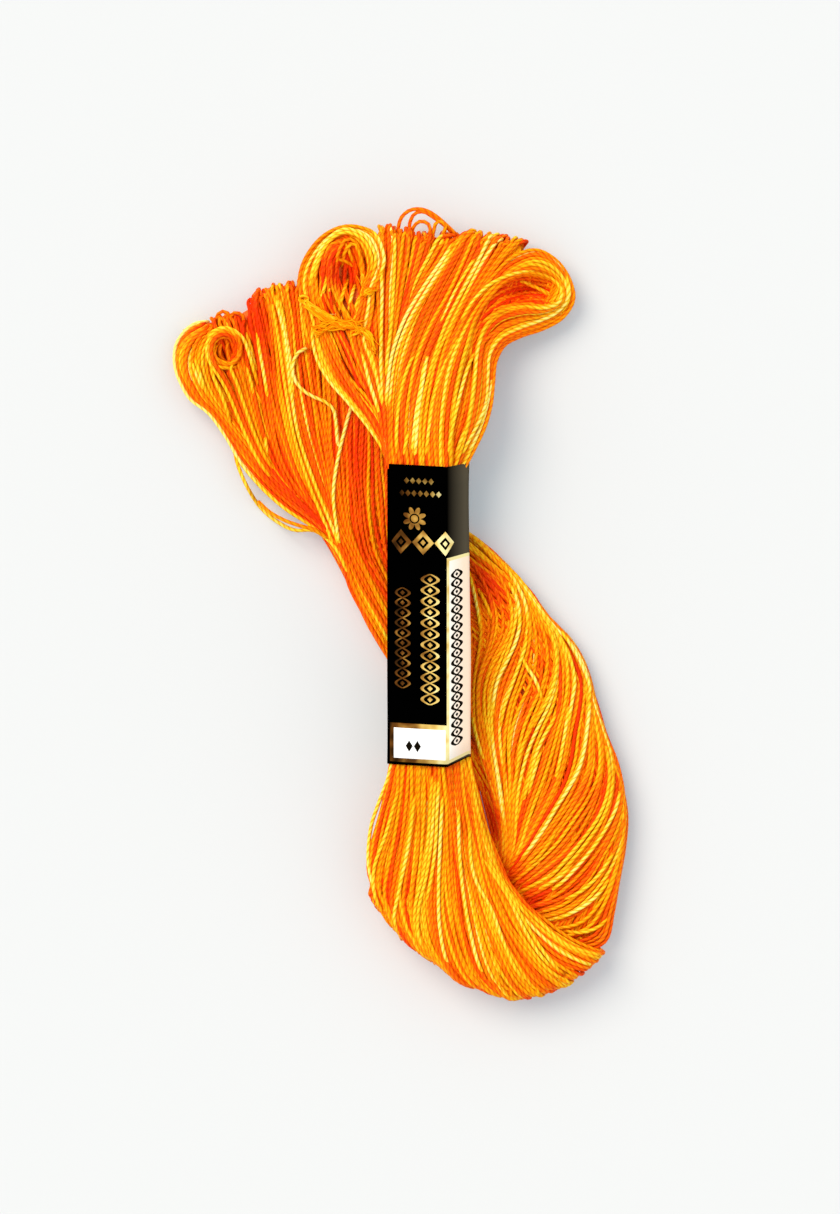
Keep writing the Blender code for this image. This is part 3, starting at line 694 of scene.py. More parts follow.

# %% [markdown]
# ## Dye along the thread, and painted shade
#
# The floss is dyed in stretches as one long thread before it is wound, so neighbours in the
# hank differ at random and each changes slowly along its way. A strand's tone starts at a
# random value and drifts. Where the photo shows a whole region deeper or paler, that is added;
# the deeper regions in the openings, grooves and hollows and under the front half are painted
# shade.

# %% Tone of a strand
rng = np.random.default_rng(7)
DYE_WAVES = (140.0, 61.0)
# deeper shifts in the openings, grooves and hollows and under the front half are painted shade
DYE_AND_SHADE_REGIONS = (  # centre, reach, shift in tone
    (30.0, 74.0, 10.0, 0.12), (34.0, 63.0, 7.0, 0.18), (-12.8, 71.5, 3.2, -0.45),
    (-10.0, 77.5, 6.0, 0.1), (25.6, 68.3, 4.5, -0.45), (31.0, 67.5, 2.5, -0.25),
    (17.5, 64.0, 4.0, -0.2), (20.0, 60.0, 4.0, -0.1), (3.0, 66.0, 7.0, -0.1),
    (-45.0, 55.0, 6.5, 0.24), (-40.5, 46.0, 6.0, 0.08), (-33.0, 63.5, 4.5, -0.3),
    (-29.5, 60.0, 5.0, -0.24), (-27.0, 50.0, 6.0, -0.15), (-34.5, 55.5, 3.0, -0.3),
    (-9.0, 34.0, 9.0, -0.26), (-4.0, 14.0, 8.0, -0.14), (18.5, 5.5, 5.0, -0.36),
    (26.5, 0.0, 5.0, 0.14), (19.5, -43.0, 2.5, -0.4), (23.5, -55.0, 3.5, -0.35),
    (27.5, -60.5, 3.5, -0.3), (40.0, -38.0, 3.5, -0.2), (-9.0, 50.0, 6.0, -0.12),
    (-11.7, 76.3, 2.2, -0.4), (-12.8, 71.5, 1.5, -0.4), (-27.0, 27.0, 5.0, -0.22),
    (-19.5, 20.0, 5.0, -0.22), (16.0, -62.0, 9.0, 0.08),
)


def drift(length, waves, amount):
    """A slow random change along a thread."""
    phase = rng.uniform(0, 2 * math.pi, len(waves))
    swing = sum(np.sin(2 * math.pi * length / wave + p) for wave, p in zip(waves, phase))
    return amount * swing / math.sqrt(len(waves))


def dyed_and_shaded(path, start=None, spread=0.2, change=0.1):
    """The tone along a strand, from 0 for deep orange to 1 for pale yellow, with painted shade in
    openings and hollows.
    """
    start = rng.normal(0.5, spread) if start is None else start
    tone = start + drift(run_along(path), DYE_WAVES, change)
    for x, y, reach, shift in DYE_AND_SHADE_REGIONS:
        away = (path[:, 0] - x) ** 2 + (path[:, 1] - y) ** 2
        tone = tone + shift * np.exp(-(away / reach**2))
    return np.clip(tone, 0.02, 1)


print("tones along a test thread", dyed_and_shaded(np.zeros((3, 3)))[:3].round(2))

# %% [markdown]
# ## Turns of the hank
#
# Each of these strands is one closed turn: over the band, round the fold, beneath, and round
# both looped ends. Eighty-four of them lie side by side in the fans. The legs are narrower, so
# there they stack, each at its own depth. A slow sideways wander makes them cross at small
# angles, as threads do that were wound one after another. They fill the sides and the underside,
# and lie a little deeper than the traced threads that come next.

# %% Turns
THREAD = 0.8  # mm, a little over the pitch of 0.7, so that neighbours touch
LOWEST_LINE = 0.62  # a centre line this high clears the table
GOLDEN = 0.618  # its multiples spread evenly over any number of depths
TURNS = 84
TURN_STEP = 2.3
STACKED = 0.6  # mm deeper for each further layer that crowding asks for
ROOMY = 12.0  # mm of room, above which a thread wanders as far as it likes
HALF_POINTS = 620  # along one half of a turn, before it is stepped
RIM_ROUND, RIM_VARIES, RIM_SHORT = 3.0, 0.8, 1.1  # mm: radius at a looped end, and its inset
BURIED, FOLD_BURIED, FOLD_REACH = 0.2, 1.1, 1.4  # mm, mm more at the fold, and in sections
# the turns lie deeper than the traced threads and are painted darker, as shade
DARKER, PALEST = 0.06, 0.68
QUARTER = math.pi / 2
fine_at = np.linspace(0, LAST, 1200)
middle_run = run_along(rows_at(fine_at)[:, MIDDLE])
end_gaps = np.linalg.norm(np.diff(SECTIONS[:, MIDDLE], axis=0), axis=1)[[0, LAST - 1]]


def way_round():
    """Places along a turn, and its side: 1 on one half, -1 on the other, between at the ends."""
    reach = (RIM_ROUND + RIM_VARIES * rng.uniform(-1, 1)) / end_gaps
    phi = np.linspace(QUARTER, -QUARTER, 11)[1:-1]
    short = RIM_SHORT / end_gaps
    there = np.linspace(reach[0] + short[0], LAST - reach[1] - short[1], HALF_POINTS)
    far_end = there[-1] + reach[1] * np.cos(phi)
    near_end = there[0] - reach[0] * np.cos(phi[::-1])
    side = np.ones(HALF_POINTS)
    at = np.concatenate([there, far_end, there[::-1], near_end])
    return at, np.concatenate([side, np.sin(phi), -side, np.sin(phi[::-1])])


def closed_turn(rank, depth):
    """The centre line of one turn, at its rank across the hank."""
    at, flat = way_round()
    rows = rows_at(at)
    half = half_width(rows)
    crowding = np.maximum(TURNS * THREAD / (2 * half + 6), 1) - 1
    sunk = THREAD / 2 + BURIED + depth * np.minimum(crowding * STACKED, 2.2)
    sunk = sunk + FOLD_BURIED * np.exp(-(((at - FOLD) / FOLD_REACH) ** 2))
    s = np.interp(at, fine_at, middle_run)
    side = drift(s, (97.0, 43.0, 21.0), 0.75) * np.minimum(half / ROOMY, 1.4)
    arc = rank * QUARTER * 0.985
    u = np.sign(arc) * (0.62 * np.abs(np.sin(arc)) + 0.38 * np.abs(arc) / QUARTER)
    u = np.clip(u + side / half * (1 - abs(rank) ** 3), -0.995, 0.995)
    u = u * (1 - sunk / half)
    w = flat * full(u) * (1 - 2 * (sunk + drift(s, (53.0, 19.0), 0.12)) / rows[:, THICK])
    return stepped(place(at, u, w), TURN_STEP)[:-1]


turns = []
for i in range(TURNS):
    path = closed_turn(-1 + 2 * (i + 0.5) / TURNS, (i * GOLDEN) % 1)
    sunk = pressed(path[:, :2]) * (path[:, 2] > 5)
    path[:, 2] = np.maximum(path[:, 2] + sunk, LOWEST_LINE)
    turns.append((path, THREAD / 2, np.minimum(dyed_and_shaded(path) - DARKER, PALEST)))
for part in range(3):
    piece = strand_mesh(f"hank_turns_{part + 1}", turns[part::3], 5, cotton, closed=True)

# %% [markdown]
# ## Threads that show one by one
#
# In the fans and legs the eye follows single threads. Their ways were traced on the photo in
# groups: a few lines a group, and the threads between them follow by interpolation. A table
# gives each line a name and its points seen from above, in tenths of a millimetre.

# %% Reading a table of lines
def traced(text):
    """The rows of a table: its words, and its points x,y in mm. Indented lines carry on a row."""
    rows = []
    for line in text.strip().split("\n"):
        words = line.split()
        if not line.startswith(" "):
            rows.append(([word for word in words if "," not in word], []))
        for word in words:
            if "," in word:
                rows[-1][1].append([int(tenths) / 10 for tenths in word.split(",")])
    return [(*head, np.array(points)) for head, points in rows]


print("a row reads", traced("name 12,-34 56,78")[0])

# %% Ways in the upper looped end
EAR = traced("""
outer 78,299 75,376 81,444 96,516 122,584 158,653 198,709 242,753 290,767 335,743 363,701 370,661
  351,627 307,599 258,580 222,560 204,528 199,484 195,436 183,392 162,347 136,299
upper 90,299 88,376 94,444 109,516 132,578 164,637 202,685 246,723 290,739 329,723 351,693 355,663
  335,637 294,617 250,601 212,578 192,546 187,496 182,440 170,392 151,345 128,299
inner 100,299 100,376 106,444 120,512 137,570 160,628 192,674 229,709 272,725 312,722 340,700
  350,674 341,650 310,636 260,632 213,616 183,584 172,540 170,480 159,410 141,348 121,299
cave 110,299 112,376 120,444 132,504 146,560 162,616 189,660 219,693 255,710 294,712 327,700
  342,678 338,657 312,645 264,648 215,636 182,604 166,564 159,502 148,425 132,355 114,299
""")

FRONT = traced("""
pale_edge 128,795 98,748 58,689 24,629 2,572 -12,516 -20,456 -22,384 -15,299
left 154,809 130,745 94,673 61,605 35,536 19,476 12,428 11,368 15,299
middle 194,799 168,745 134,677 100,605 73,536 55,476 47,428 43,368 45,299
right 234,799 204,753 164,685 128,617 98,544 80,476 70,428 67,368 69,299
ear_side 268,787 226,743 182,685 139,617 108,544 88,476 78,428 74,368 75,299
""")

CENTRE = traced("""
arch_side -45,814 -47,757 -46,697 -42,637 -39,576 -35,516 -31,456 -26,376 -17,303
left -19,818 -21,757 -23,697 -25,637 -27,576 -27,516 -26,456 -24,376 -17,303
middle 13,812 9,757 3,697 -5,637 -13,576 -19,516 -22,456 -22,376 -16,303
right 61,797 49,753 33,705 15,653 1,597 -11,536 -18,476 -21,388 -15,303
pale_edge 126,795 96,749 55,689 21,629 -1,572 -14,516 -22,456 -25,384 -15,303
""")

ARCH = traced("""
outer -18,303 -35,351 -67,398 -107,444 -145,488 -172,536 -186,584 -193,621 -202,657 -210,693
  -204,729 -186,764 -156,796 -117,813 -78,811 -51,798 -35,772 -30,742 -36,712 -50,686 -54,645
  -61,601 -65,576 -49,536 -36,484 -30,428 -25,364 -17,303
middle -17,303 -31,347 -59,396 -95,444 -129,488 -153,536 -168,580 -178,619 -189,653 -195,691
  -189,725 -173,755 -148,784 -115,802 -83,799 -61,785 -48,763 -43,738 -48,710 -59,684 -65,644
  -73,601 -75,578 -61,532 -45,480 -35,428 -27,364 -17,303
inner -17,303 -28,345 -51,394 -81,440 -111,486 -135,532 -153,576 -169,615 -180,652 -184,691
  -179,725 -169,758 -151,784 -119,799 -85,793 -66,776 -56,753 -52,732 -56,708 -66,682 -73,643
  -83,601 -87,578 -75,532 -55,480 -40,428 -29,364 -16,303
cave -17,303 -25,343 -45,392 -69,438 -95,484 -119,530 -140,574 -159,613 -172,650 -174,687 -169,723
  -161,754 -147,779 -122,793 -92,787 -75,769 -67,746 -64,725 -69,703 -78,680 -86,642 -100,601
  -102,578 -90,532 -67,480 -47,428 -32,364 -16,303
""")

VALLEY = traced("""
arch_side -73,637 -67,597 -59,552 -49,504 -39,452 -30,388 -21,315
middle -57,653 -55,601 -51,552 -45,504 -37,452 -29,388 -21,315
centre_side -42,669 -43,613 -42,556 -39,504 -34,452 -28,388 -20,315
""")

ARCH_FILL = traced("""
outside -176,610 -171,638 -166,665 -162,691 -162,721 -158,749 -147,777 -129,794 -109,793 -91,772
  -80,742 -71,712
between -144,610 -146,638 -147,665 -147,693 -147,717 -143,740 -133,758 -119,767 -105,761 -94,740
  -87,714 -88,684
inside -121,610 -123,633 -121,656 -124,679 -128,700 -130,719 -126,734 -117,740 -107,731 -101,712
  -101,684 -105,659
""")

EAR_FILL = traced("""
upper 142,617 167,661 205,699 253,715 304,715 351,690
middle 142,598 177,639 219,672 267,687 313,683 357,667
lower 145,582 186,620 234,649 281,658 319,655 361,652
lip 151,566 194,602 237,629 281,642 323,643 361,644
""")
print(len(EAR + FRONT + CENTRE + ARCH + VALLEY + ARCH_FILL + EAR_FILL), "lines above")

# %% [markdown]
# The lower looped end lies beneath the upper one, so its lines go on where they are hidden.

# %% Ways in the lower looped end
BACK_FAN = traced("""
notch -324,651 -318,605 -306,552 -292,484 -282,420 -270,356 -248,295 -212,239 -163,179 -129,123
  -99,50 -61,-26 -13,-110
dark -296,685 -284,617 -272,548 -262,480 -252,420 -238,356 -216,295 -185,239 -147,179 -121,125
  -92,54 -56,-18 -9,-98
stripe -268,689 -254,621 -242,548 -232,480 -222,420 -206,356 -185,295 -163,239 -137,179 -113,127
  -83,58 -49,-10 -3,-86
middle -240,699 -228,621 -220,548 -212,480 -202,420 -185,356 -167,295 -151,239 -131,179 -107,127
  -77,62 -43,-4 1,-76
loose_end_side -204,705 -199,621 -192,548 -183,480 -172,420 -160,356 -149,295 -139,239 -123,179
  -100,127 -70,66 -36,2 5,-66
beneath_a -163,717 -159,621 -155,548 -151,480 -147,420 -142,356 -136,295 -128,239 -113,179 -92,127
  -63,70 -30,8 10,-56
beneath_b -115,725 -115,621 -113,548 -111,480 -109,420 -107,356 -105,295 -101,239 -95,179 -81,127
  -54,72 -22,16 17,-44
band_side -59,701 -63,601 -67,532 -71,460 -73,400 -73,340 -72,287 -69,231 -65,179 -55,127 -33,78
  -5,24 34,-30
beneath_band -19,661 -23,560 -25,500 -27,420 -27,360 -27,311 -25,267 -23,223 -19,179 -9,127 11,82
  40,34 74,-18
""")

LOBE = traced("""
outline -396,616 -414,610 -438,601 -457,585 -471,563 -475,539 -472,511 -460,482 -441,452 -403,424
  -366,374 -331,313 -288,263 -240,219 -183,181 -135,139 -99,62
outer -392,608 -410,600 -431,590 -447,574 -457,557 -461,537 -458,511 -445,482 -427,452 -393,422
  -358,376 -318,323 -280,275 -232,229 -177,189 -131,143 -98,66
middle -388,602 -402,595 -415,584 -428,570 -436,553 -440,534 -438,511 -428,482 -411,452 -383,420
  -350,379 -312,331 -272,285 -224,239 -171,195 -128,147 -97,70
inner -385,595 -393,586 -402,576 -408,562 -412,546 -413,529 -410,508 -403,482 -392,456 -369,423
  -339,384 -304,342 -264,293 -218,245 -167,199 -125,149 -95,72
curl_side -382,588 -388,579 -395,569 -401,557 -403,543 -403,527 -401,508 -393,482 -381,457
  -359,426 -330,388 -296,348 -258,299 -214,249 -164,201 -123,151 -94,74
""")

CURL_BASE = traced("""
left -396,621 -384,589 -368,552 -352,512 -336,468 -320,420 -302,372 -282,327 -256,287 -220,247
  -167,195 -125,143
middle -368,635 -354,597 -342,556 -330,512 -318,468 -306,420 -292,372 -274,327 -250,287 -215,245
  -164,189 -123,139
right -330,625 -328,593 -322,556 -314,512 -304,468 -294,420 -282,372 -266,327 -244,287 -211,243
  -163,185 -125,131
""")

CURL = traced("""
outer -260,275 -292,315 -318,364 -340,416 -360,464 -380,500 -398,528 -404,556 -396,583 -372,597
  -346,591 -332,569 -334,540 -352,522 -340,484 -324,436 -304,380 -282,331 -252,287
inner -244,271 -276,311 -304,360 -326,412 -346,460 -366,500 -384,528 -390,552 -384,573 -370,581
  -354,577 -346,560 -349,542 -360,532 -346,484 -330,432 -308,376 -286,331 -256,287
""")
print(len(BACK_FAN + LOBE + CURL_BASE + CURL), "lines below")

# %% [markdown]
# The front leg runs from the band to the fold, the right leg from the crease to the band.

# %% Ways in the legs
FRONT_LEG = traced("""
outline -16,-313 -24,-344 -40,-395 -56,-441 -66,-484 -69,-519 -63,-554 -51,-593 -32,-628
left_a 0,-313 -9,-383 -22,-441 -36,-492 -44,-535 -46,-574 -38,-608 -22,-640 -5,-663
left_b 24,-313 20,-395 11,-461 0,-515 -8,-558 -11,-601 -5,-636 9,-671 26,-698
middle_a 52,-313 53,-403 50,-469 44,-531 39,-581 39,-628 48,-671 61,-706 81,-737
middle_b 77,-313 80,-410 79,-484 75,-550 74,-608 79,-663 90,-709 106,-744 127,-775
middle_c 96,-313 103,-414 108,-492 113,-562 120,-624 132,-678 147,-725 164,-764 188,-795
right_a 114,-313 125,-414 137,-500 149,-574 162,-636 179,-694 195,-741 214,-779 236,-810
right_b 129,-313 143,-408 157,-492 173,-566 192,-629 215,-683 240,-731 266,-771 296,-805
right_c 141,-313 157,-396 173,-472 192,-542 214,-600 241,-652 274,-700 312,-744 360,-779
crease_side 147,-315 162,-393 179,-460 200,-524 226,-578 258,-620 297,-660 346,-700 418,-730
crease 150,-317 167,-392 184,-453 206,-515 232,-566 264,-605 303,-642 362,-687 429,-714
""")

RIGHT_LEG = traced("""
band_side 207,-569 214,-530 218,-490 214,-450 206,-410 196,-371 183,-333 168,-295 157,-257
  153,-217 151,-176 149,-136 148,-96 146,-55 144,-15 143,25 142,66 132,105
cave 209,-573 219,-529 223,-485 216,-440 207,-396 198,-351 188,-307 180,-263 172,-218 169,-173
  176,-129 196,-88 217,-48 225,-4 214,39 193,79 165,115 132,145
pale 207,-576 223,-530 230,-484 221,-436 214,-388 207,-340 200,-292 197,-244 197,-195 205,-148
  222,-103 241,-58 252,-11 250,37 233,82 203,120 165,150 128,181
pale_b 210,-578 225,-532 233,-484 231,-435 227,-387 221,-338 215,-290 216,-241 224,-193 240,-147
  256,-101 268,-53 271,-5 259,42 235,85 203,121 165,152 126,181
yellow 210,-580 227,-532 238,-483 243,-433 248,-383 255,-333 266,-283 285,-237 310,-193 328,-146
  330,-96 320,-46 298,-1 271,41 239,81 205,118 167,151 126,181
pair 208,-580 231,-535 248,-487 257,-438 266,-388 279,-339 296,-291 317,-245 334,-197 338,-147
  337,-96 325,-47 301,-2 273,40 242,80 207,116 169,150 128,180
orange 206,-580 234,-536 263,-492 290,-447 314,-401 333,-352 346,-301 356,-250 366,-198 370,-146
  362,-95 339,-47 309,-4 278,38 244,78 207,114 169,151 126,181
long_pale 203,-583 240,-543 274,-500 304,-454 334,-408 362,-362 384,-312 395,-258 402,-204
  401,-150 381,-99 352,-53 312,-16 282,29 247,71 208,109 169,148 126,181
red 203,-590 251,-559 290,-519 327,-476 360,-431 392,-384 412,-331 415,-275 412,-219 406,-162
  389,-109 361,-60 320,-21 287,24 252,68 212,108 171,147 126,181
wide_yellow 214,-607 267,-580 317,-549 361,-510 398,-464 427,-413 442,-356 442,-297 427,-240
  410,-183 396,-126 370,-73 330,-30 293,15 257,62 216,104 173,145 126,181
outer_a 225,-626 285,-613 342,-589 389,-550 425,-499 453,-444 467,-384 458,-322 436,-264 417,-205
  401,-146 379,-88 341,-39 299,6 263,56 220,100 175,143 126,181
outer_b 244,-649 308,-649 369,-631 417,-589 448,-533 467,-472 473,-408 465,-344 444,-284 422,-223
  405,-161 385,-100 350,-46 304,-2 267,51 223,97 177,142 126,181
outline 310,-692 374,-711 435,-694 453,-631 465,-566 474,-500 477,-433 470,-367 453,-303 428,-241
  408,-177 391,-113 357,-56 310,-9 272,45 227,94 178,140 126,181
""")
print(len(FRONT_LEG + RIGHT_LEG), "lines in the legs")

# %% [markdown]
# ## Laying a thread on a surface
#
# Each line is laid on the map of its own half, so it has the solid's height everywhere. Its ends
# need care: a thread that simply stops looks cut. At a rim or at the fold it is carried round
# the edge and back beneath, and elsewhere it slips under the others or the band.

# %% Round an edge
SURFACES = {"front": front_map, "back": back_map}
RAIL_STEP = 0.6
STEEPEST = 2.6  # mm along an edge for each across it


def settled(z, times):
    """Heights smoothed, as a taut thread bridges small dips."""
    for _ in range(times):
        z = np.concatenate([z[:1], (z[:-2] + 2 * z[1:-1] + z[2:]) / 4, z[-1:]])
    return z


def on_rail(rail, distance):
    """Points and directions along a line seen from above, which runs on straight past its ends."""
    run = run_along(rail)
    ends = np.clip(distance, 0, run[-1])
    behind, here, ahead = (
        np.column_stack([np.interp(np.clip(ends + d, 0, run[-1]), run, c) for c in rail.T])
        for d in (-RAIL_STEP, 0.0, RAIL_STEP)
    )
    along = unit(ahead - behind)
    return here + along * (distance - ends)[:, None], along


def turned_under(path, drop, edge, inset, lean):
    """The path with its last end carried over the edge, slantwise if it comes so, and beneath."""
    rail, start = edge
    (spot,), (along,) = on_rail(rail, np.array([start]))
    ahead = unit(path[-1:, :2] - path[-4:-3, :2])[0]
    came = path[-1, :2] - path[-10, :2]
    side = 1 if along[1] * came[0] > along[0] * came[1] else -1
    out = np.array((along[1], -along[0])) * side
    slant = np.clip((ahead @ along) / max(ahead @ out, 0.3), -STEEPEST, STEEPEST)
    left = (path[-1, :2] - path[:, :2]) @ out - inset
    k = np.flatnonzero(left >= drop / 2)[-1]
    share = (left[k] - drop / 2) / max(left[k] - left[k + 1], 0.05)
    last = path[k] + (path[k + 1] - path[k]) * min(share, 1)
    phi = np.linspace(0, math.pi, 10)[1:]
    from_spot = last[:2] - spot
    move = from_spot @ along + drop / 2 * (slant * np.minimum(phi, 1.7) + lean * np.sin(phi))
    base, ways = on_rail(rail, start + np.append(move, move[-1]))
    outs = np.column_stack([ways[:, 1], -ways[:, 0]]) * side
    arc = base[:-1] + outs[:-1] * (from_spot @ out + drop / 2 * np.sin(phi))[:, None]
    arc = np.column_stack([arc, last[2] - drop / 2 * (1 - np.cos(phi))])
    tail = arc[-1] - np.append(outs[-1], 0) * np.linspace(0.9, 3.6, 4)[:, None]
    return np.concatenate([path[: k + 1], last[None], arc, tail])


print("past the end of a line lies", on_rail(test_line[:, :2], np.array([5.0]))[0][0])

# %% [markdown]
# The other kinds of end only sink: a little under the band, more under the other threads.

# %% Ends and heights
SINKING = {"band": (4.0, 0.9), "tuck": (5.0, 2.6), "under": (7.0, 5.5)}  # over mm, by mm
DROPS = {"rim": (1.6, 3.4), "fold": (4.3, 4.8)}  # mm from the upper side to the lower
LINE_STEP = 1.2
BEDDED = 0.15  # how deep a thread lies in the surface


def finished(path, kind, edge, inset, lean):
    """The path with its last end treated: over the rim or fold, or sunk out of sight."""
    if kind in DROPS:
        drop = min(rng.uniform(*DROPS[kind]), max(path[-3, 2] - 0.7, 1.2))
        return turned_under(path, drop, edge, inset, lean)
    if kind == "band":
        ahead = unit(path[-1:, :] - path[-3:-2, :])
        path = np.concatenate([path, path[-1] + ahead * np.array((1.0, 2.0, 3.0))[:, None]])
    reach, sink = SINKING[kind]
    run = run_along(path)
    path = path.copy()
    path[:, 2] -= sink * np.clip((run - run[-1] + reach) / reach, 0, 1) ** 2
    return path


def laid(line, surface, lift, depth, first, last, edges=(None, None), inset=0.0, lean=0.0):
    """A traced line laid on a surface. Depth may vary along it."""
    at = np.linspace(0, len(line) - 1, 14 * len(line))
    smooth = through(np.column_stack([line, depth]), at, line)
    flat = np.column_stack([smooth[:, :2], 0 * smooth[:, 0], smooth[:, 2]])
    flat = stepped(flat, LINE_STEP)
    z = height(SURFACES[surface], flat[:, :2]) - BEDDED + lift - flat[:, 3]
    path = np.column_stack([flat[:, :2], settled(z, 4)])
    path = finished(path, last, edges[1], inset, lean)
    path = finished(path[::-1], first, edges[0], inset, lean)[::-1]
    path[:, 2] = np.maximum(path[:, 2], LOWEST_LINE)
    return path


test_thread = laid(FRONT[0][1], "front", 0.0, np.zeros(len(FRONT[0][1])), "tuck", "tuck")
print("the pale thread at the fan's edge is", run_along(test_thread)[-1].round(1), "mm long")

# %% [markdown]
# ## A group of threads
#
# Between two traced lines the threads lie side by side. Where the lines draw together there is
# no room for all, and the threads stack. At a rim they gather in bunches, some further in.

# %% Threads between traced lines
BUNCH, CLUMP, STRIPE = 0.85, 0.7, 0.12  # mm inwards, mm along the rim, tone
OFTEN_INSET = 0.9
# the second layer lies deeper and is painted darker, as shade
LAYER_DEPTH, LAYER_DARKER = 0.45, 0.08
DEEPEST = 4.0
WANDER = ((47.0, 23.0), 0.3)  # mm of length to a swing, mm sideways
RANK_VARIES, RIM_LEAN, RIM_REACH = 0.22, 0.35, 9
GROUP_SPREAD = 0.16


def room_between(lines):
    """The gaps between neighbouring lines, square to their run."""
    ahead = np.gradient(lines, axis=1)
    ahead = ahead[:-1] + ahead[1:]
    gaps = np.diff(lines, axis=0)
    gaps = np.abs(gaps[..., 0] * ahead[..., 1] - gaps[..., 1] * ahead[..., 0])
    return gaps / np.linalg.norm(ahead, axis=2)


def lay_group(guides, count, surface, first, last, lift=0.0, layers=1, tone=0.0):
    """Threads side by side between the traced ones, stacked where they crowd."""
    lines = np.array([points for _, points in guides])
    numbers, rails = np.arange(len(lines)), (lines[:, 0], lines[:, -1])
    gaps = room_between(lines)
    room = gaps.sum(axis=0)
    crowding = np.clip(count * THREAD / np.maximum(room, 1.0) - 1, 0, 5)
    share = np.concatenate([[0], np.cumsum(gaps.mean(axis=1))]) / gaps.mean(axis=1).sum()
    bunches = OFTEN_INSET + drift(np.arange(count), (8.3, 4.1), BUNCH)
    clumps = drift(np.arange(count), (5.3, 3.2), CLUMP)
    stripes = drift(np.arange(count), (7.3, 3.6), STRIPE)
    made = []
    for layer, j in ((layer, j) for layer in range(layers) for j in range(count)):
        rank = (j + 0.5 + 0.5 * layer + rng.uniform(-RANK_VARIES, RANK_VARIES)) / count
        rank = np.clip(rank, 0, 1)
        t = np.interp(rank, share, numbers)
        k = min(int(t), len(lines) - 2)
        line = lines[k] * (1 - t + k) + lines[k + 1] * (t - k)
        run = run_along(line)
        shift = np.column_stack([drift(run, *WANDER), drift(run, *WANDER)])
        line = line + shift * np.minimum(1, room[:, None] / ROOMY)
        edges = [(rail, np.interp(t, numbers, run_along(rail))) for rail in rails]
        if first == "rim":
            rim_way = on_rail(rails[0], np.array([edges[0][1]]))[1]
            line = line + rim_way * clumps[j] * np.exp(-run / RIM_REACH)[:, None]
            inset = max(bunches[j] + 0.2 * rng.uniform(-1, 1), 0) * (1 - 0.5 * layer)
            lean = RIM_LEAN * (-1) ** j
        else:
            inset, lean = rng.uniform(0, 0.08), 0.0
        depth = np.minimum((j * GOLDEN) % 1 * crowding * STACKED + LAYER_DEPTH * layer, DEEPEST)
        path = laid(line, surface, lift, depth, first, last, edges, inset, lean)
        tones = dyed_and_shaded(path, spread=GROUP_SPREAD) + stripes[j] + tone - LAYER_DARKER * layer
        made.append((path, THREAD / 2, tones))
    return made


fan_room = room_between(np.array([way for _, way in FRONT])).sum(axis=0)
print("the front fan narrows from", fan_room[0].round(1), "to", fan_room[-1].round(1), "mm")

# %% [markdown]
# The upper looped end has four groups: the arch on the left, the centre, the front fan and the
# turned loops on the right. The lower looped end has its fan, a lobe on the left, and a curl.

# %% Threads of the looped ends and the legs
# the lower tones of the valley and of the fills in the arch and the turned loops are painted shade
# in those recesses
groups = {
    "front_fan_threads":
        lay_group(CENTRE, 25, "front", "rim", "band", lift=0.1, layers=2, tone=-0.06)
        + lay_group(FRONT, 28, "front", "rim", "band", lift=0.3, layers=2)
        + lay_group(VALLEY, 7, "front", "tuck", "band", lift=0.1, tone=-0.25),
    "arch_threads":
        lay_group(ARCH, 17, "front", "band", "band", lift=0.35, layers=2, tone=-0.05)
        + lay_group(ARCH_FILL, 11, "front", "tuck", "tuck", lift=-0.5, layers=2, tone=-0.18),
    "turned_loop_threads":
        lay_group(EAR, 14, "front", "band", "band", lift=0.4, layers=2, tone=0.03)
        + lay_group(EAR_FILL, 17, "front", "tuck", "tuck", lift=-0.15, layers=2, tone=-0.14),
    "lower_fan_threads":
        lay_group(BACK_FAN, 48, "back", "rim", "tuck", lift=0.1, layers=2, tone=-0.1),
    "lower_lobe_threads":
        lay_group(LOBE, 18, "back", "rim", "tuck", lift=0.3, layers=2, tone=-0.05)
        + lay_group(CURL_BASE, 11, "back", "rim", "tuck", lift=0.4)
        + lay_group(CURL, 8, "back", "tuck", "tuck", lift=1.1, tone=0.1),
    "front_leg_threads":
        lay_group(FRONT_LEG, 70, "front", "band", "fold", lift=0.1, layers=2),
    "right_leg_threads":
        lay_group(RIGHT_LEG, 60, "back", "under", "tuck", lift=0.15, layers=2),
}
for name, strands in groups.items():
    piece = strand_mesh(name, strands, 8, cotton)
